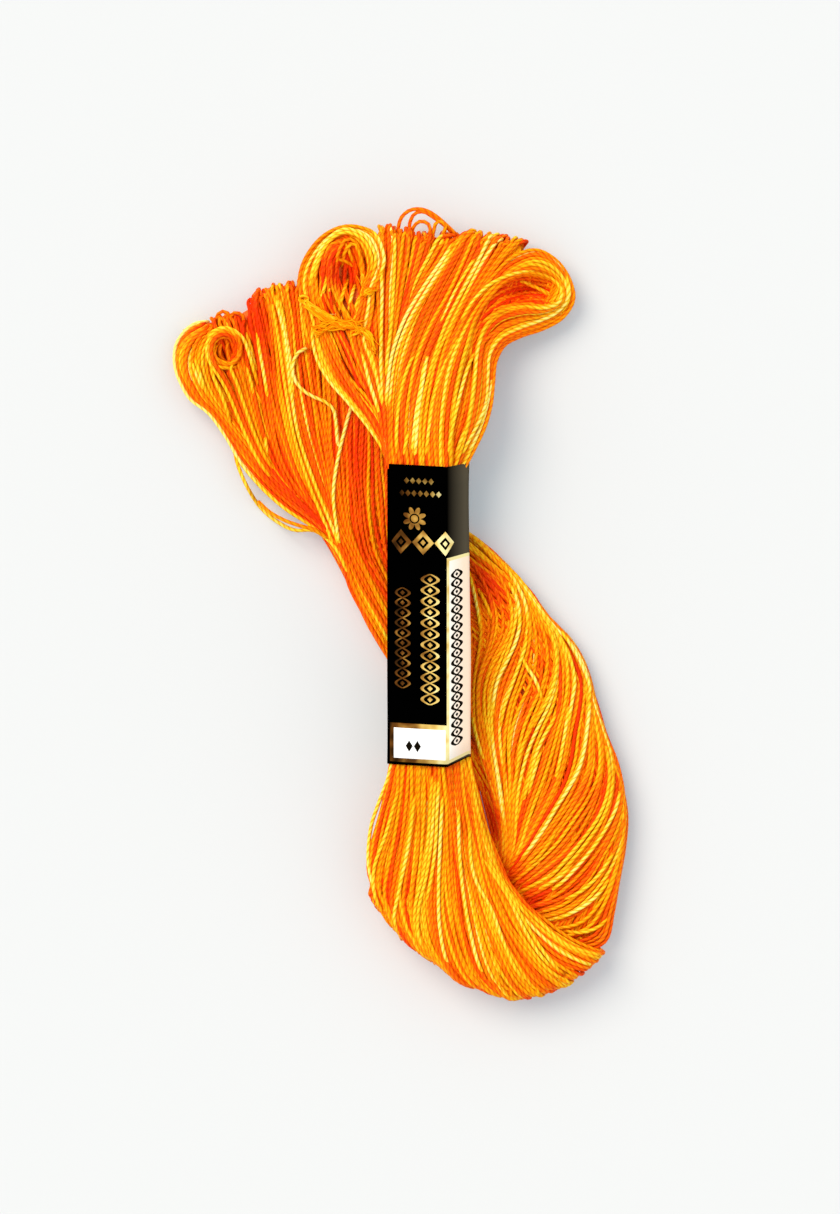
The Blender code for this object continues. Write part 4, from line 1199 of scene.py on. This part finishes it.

# %% [markdown]
# ## Threads that stand out
#
# A few threads stand out by their colour or their way. Those were traced one by one. They begin
# and end in the middle tone of the others, so that no end shows.

# %% Single threads
# The three darkest threads along the hollow beside the right leg are painted shade, laid over a
# gap that lies in shade.
ACCENTS = traced("""
pale_boundary front 1 0.5 -29,404 -23,476 -15,536 13,617 53,685 94,745 126,797
pale_boundary_twin front 0.93 0.4 -22,400 -16,472 -7,534 20,609 59,677 98,738 131,791
pale_strand front 0.97 0.4 69,580 59,532 53,496 45,444 39,388 36,343 34,299
pale_strand_twin front 0.9 0.35 62,560 53,516 47,476 39,432 33,384 29,339 28,299
right_edge front 1 0.35 196,524 193,476 186,440 174,396 152,347 130,305
right_edge_twin front 0.95 0.4 193,492 186,452 168,400 144,355 121,305
right_edge_inner front 0.88 0.4 152,412 130,359 112,305
left_outline front 0.92 0.5 -176,627 -180,597 -172,536 -147,490 -111,448 -71,400 -35,347 -21,315
left_outline_twin front 0.8 0.4 -168,601 -168,564 -158,520 -133,482 -99,440 -61,394 -28,339
arch_leg_pale_a front 0.96 0.5 -87,568 -73,528 -61,484 -47,440 -31,388
arch_leg_pale_b front 0.86 0.4 -67,584 -57,544 -48,504 -39,460 -28,404
centre_pale_a front 0.9 0.4 -37,745 -35,677 -36,597 -37,516 -34,444 -29,396
centre_pale_b front 0.82 0.35 -9,814 -8,757 -11,677 -16,597 -24,532 -27,468
fan_yellow_a front 0.8 0.4 142,601 114,556 90,504 75,456 67,408 59,343 55,307
fan_yellow_b front 0.85 0.4 182,779 154,737 122,681 94,621 71,572
fan_yellow_c front 0.9 0.4 158,781 146,757 134,729
fan_yellow_d front 0.8 0.4 45,564 21,516 5,460 -3,396 -3,343 1,307
fan_yellow_e front 0.88 0.4 33,404 21,376 13,339 9,305
fan_yellow_f front 0.86 0.4 166,560 146,516 134,476 122,428 110,372 100,305
fan_red_a front 0.2 0.4 150,807 126,761 86,689 49,621 29,568 13,516 1,460
fan_red_b front 0.16 0.35 190,793 158,745 118,669 86,601 61,540 41,484
ear_pale_top front 0.86 0.45 118,584 150,645 190,689 234,711 278,721 311,719
ear_pale_side front 0.9 0.4 335,739 353,709 360,677 351,645 327,621
ear_low front 0.3 0.3 290,621 242,609 198,587 170,556 160,516
ear_cave_yellow front 0.55 0.5 266,641 226,637 190,621 164,595
ear_cave_eye front 0.95 1.8 266,696 290,687 309,675 323,665
lower_crossing_pale back 0.97 0.5 -84,490 -93,456 -106,414 -117,372 -131,307 -137,259 -129,171
  -119,115
lower_stripe back 0.85 0.4 -260,689 -244,601 -228,480 -212,380 -179,279 -139,179 -115,115
lower_stripe_twin back 0.78 0.35 -272,681 -255,589 -238,472 -220,372 -189,273 -151,179 -127,115
lower_pale_a back 0.9 0.4 -284,400 -280,360 -272,307
lower_pale_b back 0.88 0.4 -328,609 -308,548 -300,516
bowed_a back 0.85 0.4 -350,364 -340,315 -320,267 -292,223 -260,195 -220,175 -179,174 -139,147
lobe_pale_a back 0.95 0.4 -327,602 -323,584 -319,567 -306,534 -298,511 -294,494
lobe_pale_b back 0.9 0.4 -301,612 -298,588 -294,560 -283,499 -276,456 -271,428
lobe_pale_c back 0.95 0.45 -265,687 -255,647 -247,617 -241,591 -233,525 -229,473 -227,428
lobe_pale_d back 0.88 0.4 -254,687 -248,647 -241,617 -237,588 -227,525 -223,473 -219,428
lobe_pale_e back 0.85 0.4 -331,550 -323,523 -313,494 -306,461 -301,428
lobe_pale_f back 0.85 0.4 -389,499 -375,473 -361,450 -351,428
lobe_pale_g back 0.9 0.4 -442,560 -435,529 -422,494 -410,466 -400,445
curl_arc_a back 0.85 1.5 -400,579 -389,593 -377,599 -365,601 -351,597 -339,586 -331,570 -329,555
curl_arc_b back 0.8 1.3 -395,588 -382,597 -358,596 -344,586 -335,574 -332,555
curl_low_a back 0.7 1.4 -396,557 -391,544 -381,534 -367,527 -351,525 -339,530 -331,543
curl_low_b back 0.6 1.2 -395,548 -386,536 -372,526 -356,520 -342,523
curl_inner_a back 0.6 0.8 -358,579 -360,562 -358,546 -353,530 -346,511
curl_inner_b back 0.7 0.6 -372,570 -368,557 -364,543
curl_inner_c back 0.55 0.6 -375,569 -381,557 -382,548
burnt_loop_a back 0.12 0.9 -382,609 -385,621 -380,631 -370,636 -360,632 -354,623 -358,612
burnt_loop_b back 0.08 1.2 -355,614 -354,626 -348,632 -337,632 -328,626 -326,616 -332,605
burnt_loop_c back 0.2 0.7 -375,609 -372,621 -363,628 -353,621 -348,609
leg_cave_pale_a back 0.9 0.3 142,106 151,74 162,28 170,-17 174,-55
leg_cave_pale_b back 0.7 0.3 157,69 176,37 194,-4 208,-38
leg_side_pale_a back 0.97 0.4 221,82 237,55 251,23 255,-12 248,-55
leg_side_pale_b back 0.9 0.4 202,125 232,87 253,53 268,15 272,-20 272,-55
right_pale_low back 0.97 0.5 197,-222 197,-250 200,-286 206,-326 212,-366 217,-407 224,-443
  229,-475
right_pale_low_twin back 0.9 0.45 195,-262 202,-298 209,-338 216,-382 222,-423 228,-455
right_pale_bundle back 0.97 0.5 257,13 256,-20 247,-60 229,-100 209,-142 200,-188 199,-236
right_pale_join back 0.85 0.45 272,-28 267,-68 253,-112 237,-156 223,-196 215,-236 211,-266
right_pale_line back 0.97 0.5 243,-537 275,-497 307,-452 331,-411 359,-367 380,-327 390,-291
  397,-243 402,-199 404,-162
right_pale_line_up back 0.95 0.5 394,-224 400,-188 403,-156 390,-118 371,-80 349,-47 321,-20
right_pale_inner back 0.88 0.45 333,-28 349,-68 365,-108 371,-144 365,-188 358,-228 351,-266
right_pale_inner_low back 0.85 0.45 362,-174 355,-222 345,-282 335,-330 321,-374
right_cross_pale back 0.97 0.8 255,-76 269,-112 285,-136 297,-164 306,-200
right_yellow_a back 0.78 0.45 297,-4 317,-36 330,-72 333,-108 327,-148 311,-188 291,-224 276,-260
right_yellow_b back 0.82 0.45 335,-186 327,-222 307,-258 289,-298 277,-342 265,-386 258,-423
right_pair_pale back 0.92 0.5 268,-403 279,-358 294,-306 307,-270
right_low_yellow_a back 0.7 0.4 235,-427 239,-390 247,-346 252,-314 264,-272 287,-230
near_band_pale back 0.85 0.4 150,-186 158,-234 174,-294 192,-338
wide_yellow_a back 0.78 0.4 287,-579 323,-551 359,-511 392,-471 420,-431 438,-386 444,-342
  440,-298 429,-254
wide_yellow_b back 0.74 0.4 295,-585 331,-557 370,-515 400,-477 428,-435 445,-390 451,-346
  447,-302
right_low_pale_a back 0.9 0.45 303,-597 343,-568 384,-525 416,-485 440,-447 456,-415 465,-380
  467,-350
right_low_pale_b back 0.85 0.45 327,-605 359,-599 392,-580 424,-548 448,-512 463,-481
right_low_pale_c back 0.92 0.5 315,-652 355,-636 392,-616 424,-588 452,-545
right_low_pale_d back 0.85 0.45 335,-668 392,-672 428,-656 451,-623
right_low_pale_e back 0.88 0.45 273,-588 299,-579 343,-552 380,-512
right_low_yellow_b back 0.65 0.4 251,-548 295,-512 319,-480 343,-431
front_yellow_a front 0.82 0.4 79,-321 74,-397 68,-486 57,-557 42,-622 42,-675 64,-726
front_yellow_b front 0.78 0.4 72,-321 67,-397 61,-486 51,-551 35,-616 35,-664 51,-711
front_yellow_c front 0.86 0.4 86,-326 81,-409 77,-492 67,-563 53,-628
front_pale_a front 0.93 0.45 93,-362 87,-486 84,-575 87,-664 99,-723 117,-761
front_pale_b front 0.9 0.45 125,-386 128,-504 137,-593 152,-675 170,-741 188,-777
front_pale_c front 0.86 0.45 146,-421 163,-563 193,-617 222,-694 247,-748 277,-783
front_wide_a front 0.84 0.4 168,-498 198,-546 229,-595 259,-654 294,-713 336,-759
front_wide_b front 0.8 0.4 172,-486 204,-545 238,-599 271,-659 309,-717 352,-768
front_left_pale front 0.85 0.4 36,-362 21,-486 -1,-593 -9,-640 7,-687
front_left_pale_b front 0.8 0.4 7,-344 -26,-462 -52,-545 -49,-593 -26,-640
front_edge_yellow front 0.72 0.4 150,-326 164,-409 187,-486 216,-557 255,-616 299,-664
ring_bright front 0.88 0.75 -182,665 -181,691 -177,721 -169,749 -157,775 -143,791 -127,802
  -109,807 -92,803 -76,795 -64,784 -55,767 -48,751 -48,733 -53,712 -60,691 -62,682
ring_twin front 0.82 0.7 -178,679 -174,712 -166,742 -154,768 -141,785 -125,796 -109,800 -93,796
  -79,788 -68,776 -60,761 -55,744 -55,728 -59,710 -65,691
ring_pale front 0.99 0.75 -83,811 -65,807 -51,798 -41,784 -35,765 -30,744 -35,717 -43,698 -53,682
ring_left front 0.95 0.8 -183,665 -184,691 -180,717 -173,740 -164,761 -152,779
hole_a front 0.88 0.1 -171,633 -167,645 -162,663 -155,682 -153,703 -154,724
hole_b front 0.86 0.1 -141,638 -143,656 -146,675 -144,693 -147,712
hole_c front 0.78 0.1 -126,617 -123,642 -118,665 -111,689 -105,710
hole_d front 0.97 0.2 -105,616 -103,642 -97,670 -90,696
hole_e front 0.95 0.3 -93,610 -90,638 -83,659 -74,678
hole_f front 0.95 0.3 -85,605 -83,628 -76,649 -68,669
hole_bridge front 0.62 -0.2 -155,742 -139,744 -121,742 -105,736 -93,726 -81,715
hole_curve front 0.66 0 -134,787 -121,785 -109,772 -102,754 -94,735 -83,719
arch_left_a front 0.8 0.45 -195,632 -197,610 -191,582 -182,554
arch_left_b front 0.93 0.45 -171,632 -177,610 -177,586 -173,554
hollow_a back 0.05 -0.5 146,-260 160,-340 180,-430 202,-510 224,-575
hollow_b back 0.12 -0.5 155,-260 169,-340 189,-430 210,-510 232,-575
hollow_c back 0 -0.5 164,-260 178,-340 198,-430 218,-510 240,-575
ear_cross front 0.97 0.1 236,705 269,697 300,683 326,666 342,645
ear_dark_a front 0.3 -0.3 174,644 215,661 266,668 319,666
ear_dark_b front 0.42 -0.2 180,632 224,644 272,651 326,649
curl_in_a back 0.45 1.3 -380,571 -388,549 -378,528 -359,521 -340,532 -337,554 -349,574
curl_in_b back 0.35 1.3 -371,575 -378,551 -371,533 -354,528
curl_in_c back 0.4 1.3 -359,579 -362,556 -357,533 -349,507
curl_pale back 0.88 1.4 -402,562 -397,587 -377,598 -349,596 -328,579 -316,549 -304,509 -294,477
curl_pale_b back 0.8 1.4 -397,533 -384,521 -361,515 -335,521
curl_left back 0.8 1.2 -398,556 -395,527 -390,499 -373,460 -360,422 -351,383
curl_left_b back 0.85 1 -435,554 -420,509 -407,470 -395,442
hole_top_a front 0.5 -0.2 -134,712 -123,765 -107,786 -90,779 -79,754 -72,721
hole_top_b front 0.6 -0.1 -121,721 -109,765 -95,777 -82,756 -74,728 -72,693
hole_top_c front 0.42 -0.3 -144,765 -125,792 -102,796 -83,782 -72,761 -67,738
hole_top_d front 0.5 -0.3 -158,721 -153,749 -139,775 -123,779 -109,765 -102,744
""")
print(len(ACCENTS), "single threads, each with its surface, tone and lift before its points")

# %% [markdown]
# Above the upper rim and beside the lower fan a few loops stand free of the hank.

# %% Free loops
STRAYS = traced("""
tall_loop 0.45 -3,757 -2,785 -1,809 7,834 23,847 45,850 63,845 82,833 106,812 122,797
second_loop 0.3 29,773 23,801 25,826 35,841 53,844 71,834 94,818 114,801
low_loop_left 0.3 39,757 29,789 31,812 45,824 61,820 67,801 53,781 45,757
low_loop_right 0.5 67,745 71,777 74,805 82,824 98,818 94,797 86,781
arch_stray 0.25 71,781 90,791 106,795 121,795
bowed_twin 0.62 -296,235 -272,213 -242,196 -209,184 -179,176 -148,157
""")
ENDS_MATCH_OVER = 7.0  # mm
FREE_HEIGHT, FREE_ARCH, FREE_TILT = 6.0, 2.4, 1.5  # mm
singles = []
for _, surface, tone, lift, points in ACCENTS:
    path = laid(points, surface, float(lift), np.zeros(len(points)), "tuck", "tuck")
    run = run_along(path)
    from_end = np.clip(np.minimum(run, run[-1] - run) / ENDS_MATCH_OVER, 0, 1)
    own = 0.9 * (float(tone) - 0.5) + drift(run, (30.0, 13.0), 0.04)
    singles.append((path, THREAD / 2, 0.5 + own * from_end))
for _, tone, points in STRAYS:
    line = through(points, np.linspace(0, len(points) - 1, 60))
    t = np.linspace(0, 1, len(line))
    z = FREE_HEIGHT + FREE_ARCH * np.sin(math.pi * t) + FREE_TILT * (t - 0.5)
    path = stepped(np.column_stack([line, z]), 1.0)
    singles.append((path, THREAD / 2, dyed_and_shaded(path, start=float(tone))))
piece = strand_mesh("single_threads", singles, 8, cotton)

# %% [markdown]
# ## The paper band
#
# The band is a strip of coated paper, printed black and gold, folded round the front leg with
# its ends glued in a lap underneath. Its form follows the packed sleeve: the section of the leg,
# pushed out by the gap and the thickness of the paper.

# %% Outline of the band
PAPER, PAPER_GAP = 0.35, 0.42
BAND_TOP, BAND_FOOT = 30.5, -32.2
BAND_FIRST, BAND_LAST = 7, 10  # the sections it spans
BAND_POINTS, BAND_ROWS = 96, 16


def pushed_out(ring, distance):
    """A closed outline in x and z, moved outwards."""
    ahead, behind = np.roll(ring, -1, axis=0) - ring, ring - np.roll(ring, 1, axis=0)
    along = unit(unit(ahead) + unit(behind))
    return ring + np.stack([along[:, 1], -along[:, 0]], axis=1) * distance


def band_outline(share, distance):
    """The band's outline at one share of the way down, in x and z, from its right edge on."""
    angle = np.linspace(0, 2 * math.pi, BAND_POINTS, endpoint=False)
    u = np.sign(np.cos(angle)) * np.abs(np.cos(angle)) ** 0.7
    row = rows_at(np.array([BAND_FIRST + share * (BAND_LAST - BAND_FIRST)]))
    middle = sheet(np.repeat(row, BAND_POINTS, axis=0), u)
    w = np.where(np.sin(angle) >= -1e-9, full(u) * flattened(u, 1), -full(u))
    ring = np.stack([middle[:, 0], middle[:, 2] + 0.5 * row[0, THICK] * w], axis=1)
    return pushed_out(ring, distance)


def length_round(ring):
    """The distance along a closed outline, once round."""
    return run_along(np.concatenate([ring, ring[:1]]))


band_round = length_round(band_outline(0, PAPER_GAP + PAPER))[-1]
print("band outline", round(float(band_round), 1), "mm round")

# %% [markdown]
# The strip was wrapped a little askew, so its edges rise to both sides of the crease. Each point
# keeps its place on the flat strip, in millimetres from the crease, which is what gets printed.

# %% Folded paper
CREASE_X, RIGHT_X, LEFT_X = 10.2, 14.6, -2.2
CREASE_WITHIN = 40  # the crease is among the first points of an outline


def skew(x, share):
    """How far the paper's edges rise."""
    left = 0.7 * np.clip((CREASE_X - x) / (CREASE_X - LEFT_X), 0, 1)
    right = (0.9 + 1.2 * share) * np.clip((x - CREASE_X) / (RIGHT_X - CREASE_X), 0, 1)
    return left + right


rings, prints, bakes = [], [], []
for layer, distance in enumerate((PAPER_GAP + PAPER, PAPER_GAP)):
    for share in np.linspace(0, 1, BAND_ROWS):
        ring = band_outline(share, distance)
        run = length_round(ring)
        crease_at = np.interp(-CREASE_X, -ring[:CREASE_WITHIN, 0], run[:CREASE_WITHIN])
        y = BAND_TOP + (BAND_FOOT - BAND_TOP) * share
        rings.append(np.column_stack([ring[:, 0], y + skew(ring[:, 0], share), ring[:, 1]]))
        prints.append(np.column_stack([crease_at - run, np.full(len(run), y)]))
        strip = (run / run[-1] + layer) / 2
        bakes.append(np.column_stack([strip, np.full(len(run), 1 - share)]))

corner_of = []
for layer in (0, 1):
    for a in range(layer * BAND_ROWS, (layer + 1) * BAND_ROWS - 1):
        for j in range(BAND_POINTS):
            corners = [(a, j), (a + 1, j), (a + 1, j + 1), (a, j + 1)]
            corner_of.append(corners[::-1] if layer else corners)
for row, flip in ((0, 1), (BAND_ROWS - 1, -1)):
    for j in range(BAND_POINTS):
        corners = [(row, j), (row, j + 1), (row + BAND_ROWS, j + 1), (row + BAND_ROWS, j)]
        corner_of.append(corners[::flip])
faces = [[a * BAND_POINTS + j % BAND_POINTS for a, j in corners] for corners in corner_of]
band_mesh = bpy.data.meshes.new("printed_band")
band_mesh.from_pydata(((np.concatenate(rings) + TO_PART) * MM).tolist(), [], faces)
for layer_name, table in (("print", prints), ("OFBake", bakes)):
    uv = np.array([table[a][j] for corners in corner_of for a, j in corners])
    band_mesh.uv_layers.new(name=layer_name).data.foreach_set("uv", uv.ravel())
band_mesh.polygons.foreach_set("use_smooth", np.ones(len(faces), bool))
print("the band has", len(faces), "faces")

# %% [markdown]
# ## Print on the band
#
# The band is printed with plain ornament in gold: two rows of lozenges, a rosette, a lattice and
# two braids, with a dark braid on the cream side panel and two lozenges in the white box. An
# image could hold it, but formulas over the paper in millimetres, across from the crease and up,
# stay sharp at any distance.

# %% Ornaments
band_finish, band_sockets, wire = new_finish(
    "coated_paper", {"Roughness": 0.45, "Specular IOR Level": 0.0}
)
spots, across, up = wire.map_of("print")


def inside(value, low, high):
    return (value > low) * (value < high)


def union(*masks):
    held = masks[0]
    for mask in masks[1:]:
        held = held.math("MAXIMUM", held, mask)
    return held


def from_multiple(value, pitch):
    """How far a value is from the nearest multiple of the pitch."""
    return value.math("PINGPONG", value, pitch / 2)


def box_of(u0, u1, v0, v1):
    return inside(up, v0, v1) * inside(across, u0, u1)


def lozenges(u0, v0, half, count, tall):
    """A short row of small lozenges."""
    pitch = half * 2.3
    near = from_multiple(across - u0 + (0 if count % 2 else pitch / 2), pitch)
    return (near + abs(up - v0) / tall < half) * (abs(across - u0) < count * pitch / 2)


def lattice(u0, u1, v0, half_height, cells):
    """A row of large lozenge outlines, each with a small one inside."""
    wide = (u1 - u0) / cells
    spread = from_multiple(across - u0 - wide / 2, wide) / (wide / 2)
    spread = spread + abs(up - v0) / half_height
    return union(inside(spread, 0.52, 0.98), spread < 0.24) * inside(across, u0, u1)


def braid(u0, v0, v1, half_width, pitch, line):
    """Two waves that cross, with a bead in each eye."""
    wave = ((up - v0) * (2 * math.pi / pitch)).sine() * half_width
    strands = union(abs(across - u0 - wave) < line, abs(across - u0 + wave) < line)
    bead = abs(across - u0) + from_multiple(up - v0 - pitch / 4, pitch / 2)
    return union(strands, bead < half_width * 0.34) * inside(up, v0, v1)


def rosette(u0, v0, reach):
    """Eight petals round a ring."""
    x, y = across - u0, up - v0
    squares = x * x + y * y
    r, angle = squares.math("SQRT", squares), y.math("ARCTAN2", y, x)
    petals = r < (abs((angle * 4).sine()) * 0.55 + 0.45) * reach
    return petals * (1 - inside(r, reach * 0.3, reach * 0.42))


white_box = box_of(-11.4, -0.35, -30.8, -24.5)
panel = box_of(0.55, 9.2, -30.9, 10.7)
gold = union(
    lozenges(-6.0, 27.2, 0.56, 5, 1.2) * 0.45,
    lozenges(-5.7, 24.6, 0.56, 7, 1.2) * 0.6,
    rosette(-6.9, 19.3, 2.5),
    lattice(-12.1, 1.9, 14.4, 2.6, 3),
    braid(-9.4, -16.2, 4.8, 1.45, 4.2, 0.3),
    braid(-3.6, -19.4, 7.9, 1.65, 4.55, 0.34),
    box_of(-12.6, 0.0, -31.6, -23.5),
    box_of(-0.1, 9.5, -31.6, 11.4),
)
marks = union(
    braid(2.6, -28.5, 8.6, 1.25, 3.7, 0.42) * panel,
    lozenges(-7.1, -28.2, 0.75, 2, 1.6),
)
print("ornament with", len(wire.tree.nodes), "nodes")

# %% [markdown]
# Gold ink mirrors its surroundings, and that reflection is painted into its colour, dim on the
# left and bright on the right. The black has a painted sheen where the paper turns to the side.
# The cut edges stay black.

# %% Ink
BLACK_INK, DARK_INK = (0.0002, 0.0002, 0.0002, 1), (0.006, 0.004, 0.002, 1)
BLACK_SHEEN = (0.085, 0.07, 0.045, 1)
CREAM, CREAM_FAR = (1.0, 0.98, 0.88, 1), (1.0, 0.78, 0.58, 1)
WHITE = (1.0, 1.0, 0.98, 1)
# gold ink from dim to bright, for its painted reflection
GOLDS = (
    (0.0, (0.03, 0.012, 0.003)),
    (0.3, (0.14, 0.05, 0.008)),
    (0.55, (0.42, 0.22, 0.04)),
    (0.8, (0.75, 0.52, 0.14)),
    (1.0, (0.9, 0.78, 0.36)),
)
ripple = wire.noise(spots, 0.35, 1.0, noise_dimensions="2D")
# gold ink with its painted reflection, dim on the left and bright on the right
gold_ink_and_reflection = (across / 13.0 + 0.5 + 0.9 * ripple).ramp(GOLDS)
# black ink with a painted sheen where the paper turns to the side
black = (inside(across, 0.0, 7.0) * (across / 5.0)).mixed(BLACK_INK, BLACK_SHEEN)
cream = (across / 4.5).mixed(CREAM, CREAM_FAR)
colour = panel.mixed(gold.mixed(black, gold_ink_and_reflection), cream)
colour = marks.mixed(white_box.mixed(colour, WHITE), DARK_INK)
cut_edge = union(up < -31.95, across < -14.0)
cut_edge.mixed(colour, BLACK_INK).into(band_sockets["Base Color"])
band = placed("printed_band", band_mesh, band_finish)
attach(band, "root")
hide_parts("paper_band")
print("band print with", len(wire.tree.nodes), "nodes")

# %% [markdown]
# ## The tie
#
# The tie is a short length of softer cotton, doubled and knotted round the bundle, its ends
# frayed. Each of its yarns is a bunch of fibres that wind about a line, with hairs that stick
# out, and a few loose coils of fibre make the knots.

# %% Yarns of the tie
TIE_LIFT = 0.85
HAIR_RADIUS, COIL_RADIUS = 0.08, 0.22
YARNS = (  # name, fibres, reach, radius, tone, way
    ("crossing", 14, 0.5, 0.24, 0.74,
     ((-19.9, 66.0), (-19.0, 64.8), (-17.0, 63.5), (-14.9, 62.2), (-12.8, 61.1), (-10.8, 60.5),
      (-8.2, 60.0))),
    ("crossing_low", 8, 0.4, 0.22, 0.62,
     ((-19.8, 65.2), (-18.2, 63.6), (-16.0, 61.8), (-12.6, 60.4), (-8.2, 59.6), (-4.9, 57.3))),
    ("fringe", 16, 0.85, 0.2, 0.56,
     ((-17.6, 58.8), (-15.6, 59.8), (-13.0, 60.4), (-10.5, 60.4), (-7.4, 60.0))),
    ("right_end", 8, 0.4, 0.2, 0.66,
     ((-10.3, 58.0), (-8.9, 58.6), (-7.6, 59.5), (-6.8, 58.6), (-5.6, 56.6), (-4.9, 54.2))),
    ("right_knot", 6, 0.3, 0.2, 0.58,
     ((-7.7, 65.9), (-6.9, 66.9), (-5.9, 67.5), (-4.9, 68.2))),
)
COILS = ((-19.9, 65.9, 1.05), (-6.2, 67.3, 0.9), (-8.0, 59.4, 0.8))  # x, y, size


def drawn(points, step):
    """A smooth line through a few points seen from above."""
    line = through(np.array(points, float), np.linspace(0, len(points) - 1, 20 * len(points)))
    return stepped(line, step)


def hair_from(axis, tone):
    """One short fibre that sticks out of a yarn."""
    at = int(rng.integers(1, len(axis) - 1))
    way = axis[at + 1 : at + 2] - axis[at - 1 : at] + rng.normal(0, 0.4, 3) * (1, 1, 0.3)
    way = unit(way)[0] * rng.choice((-1, 1))
    t = np.linspace(0, rng.uniform(1.0, 2.2), 7)[:, None]
    bend = rng.normal(0, 0.3, 3), rng.normal(0, 0.25, 3) * (1, 1, 0.4)
    hair = axis[at] + bend[0] + t * way + t * t * bend[1]
    return hair, HAIR_RADIUS, dyed_and_shaded(hair, start=rng.normal(tone, 0.08))


fibres = []
for _, count, spread, radius, tone, points in YARNS:
    flat = drawn(points, 0.8)
    axis = np.column_stack([flat, settled(height(front_map, flat) + TIE_LIFT, 6)])
    a, b = turned_frames(axis, False)
    s = run_along(axis)
    frayed = 1 + 0.9 * np.exp(-s / 1.4) + 0.9 * np.exp((s - s[-1]) / 1.4)
    for k in range(count):
        angle = s / 3.1 + 2 * math.pi * k / count + drift(s, (9.0, 4.0), 0.7)
        reach = (spread * rng.uniform(0.3, 1.0) * frayed)[:, None]
        around = 1.25 * np.cos(angle)[:, None] * a + 0.6 * np.sin(angle)[:, None] * b
        keep = slice(int(rng.integers(0, 3)), len(axis) - int(rng.integers(0, 3)))
        path = (axis + reach * around)[keep]
        fibres.append((path, radius, dyed_and_shaded(path, start=rng.normal(tone, 0.07), change=0.08)))
    fibres += [hair_from(axis, tone) for _ in range(2 * count)]
for x, y, size in COILS:
    middle = (x, y, height(front_map, np.array([[x, y]]))[0] + 0.9)
    for _ in range(12):
        spin = np.linspace(0, rng.uniform(3.0, 5.5), 16) + rng.uniform(0, 6.3)
        tilt = rng.uniform(-0.9, 0.9)
        rise, flat = np.sin(spin) * math.sin(tilt), np.sin(spin) * math.cos(tilt)
        ring = np.column_stack([np.cos(spin), flat, rise])
        path = middle + ring * size * rng.uniform(0.45, 1.0) * (1.0, 0.8, 0.7)
        fibres.append((path, COIL_RADIUS, dyed_and_shaded(path, start=rng.normal(0.66, 0.08))))
print(len(fibres), "fibres in the tie")

# %% [markdown]
# The fibres are too fine for plies, so their finish is matt, with only their dye and the shade
# at their flanks.

# %% Tie
fuzzy, fuzzy_sockets, fuzzy_wire = new_finish(
    "tie_thread", {"Roughness": 0.8, "Specular IOR Level": 0.04}
)
fuzzy_dye, fuzzy_flank = fuzzy_wire.value_of("tone").ramp(DYES), fuzzy_wire.value_of("flank")
fuzzy_colour = (fuzzy_flank * fuzzy_flank * 0.35).mixed(fuzzy_dye, (0.6, 0.06, 0.0, 1))
fuzzy_colour.into(fuzzy_sockets["Base Color"])
tie = strand_mesh("knotted_tie", fibres, 5, fuzzy)
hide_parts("tie")

# %% [markdown]
# ## The loose end
#
# The loose end is one thread that lies on the lower fan and slips under the loops beside the
# band. It is a free cord.

# %% Loose end
LOOSE_WAY = (
    (-19.3, 55.8), (-21.0, 54.9), (-22.3, 51.2), (-21.7, 48.9), (-20.2, 47.0), (-17.8, 45.5),
    (-15.3, 44.4), (-13.8, 43.0), (-13.2, 40.4), (-12.9, 36.6), (-12.0, 31.6),
)
flat = drawn(LOOSE_WAY, 0.6)
run = run_along(flat)
dip = 1.5 * np.clip((run - run[-1] + 5.5) / 2.5, 0, 1)
loose_path = np.column_stack([flat, settled(height(back_map, flat) + 0.75 - dip, 8)])
loose_run = run_along(loose_path)
loose_tone = np.clip(0.9 + drift(loose_run, (17.0, 6.0), 0.06), 0, 1)
loose = strand_mesh("loose_thread_end", [(loose_path, THREAD / 2, loose_tone)], 10, cotton)
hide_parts("loose_end")

# %% [markdown]
# ## Table, light and camera
#
# The photo looks straight down on a white table. One soft light from the upper left gives the
# shadows to the right, and a bright surround fills them. The table glows a little, cooler than
# its own white, because the warm light would tint it otherwise.

# %% Table, light and camera
floor_mesh = bpy.data.meshes.new("table_top")
floor_mesh.from_pydata([(-3, -3, 0), (3, -3, 0), (3, 3, 0), (-3, 3, 0)], [], [(0, 1, 2, 3)])
floor_finish = new_finish("white_table", {
    "Base Color": (0.6, 0.565, 0.543, 1), "Roughness": 0.9,
    "Emission Color": (0.095, 0.16, 0.185, 1), "Emission Strength": 1.0,
})[0]
floor = placed("table_top", floor_mesh, floor_finish)

scene = bpy.context.scene
world = bpy.data.worlds.new("surround")
world.use_nodes = True
world.node_tree.nodes["Background"].inputs[0].default_value = (0.95, 1.0, 1.06, 1)
world.node_tree.nodes["Background"].inputs[1].default_value = 0.9
scene.world = world

lamp = bpy.data.lights.new("key_light", "SUN")
lamp.energy = 2.0
lamp.color = (1.11, 1.0, 0.86)
lamp.angle = math.radians(42)
key_light = bpy.data.objects.new("key_light", lamp)
key_light.location = (-0.6, 0.4, 0.9)
key_light.rotation_euler = (math.radians(40), 0, math.radians(229))
scene.collection.objects.link(key_light)

camera_data = bpy.data.cameras.new("camera")
camera_data.lens = 168.0
camera = bpy.data.objects.new("camera", camera_data)
camera.location = (0.00447, 0.00082, 1.2)
scene.collection.objects.link(camera)
scene.camera = camera
scene.view_settings.view_transform = "Standard"
print("camera looks straight down from", camera.location.z, "m")

# %% [markdown]
#
# The dressed part should be as large as the packed one, but for the loose loops at the rim.
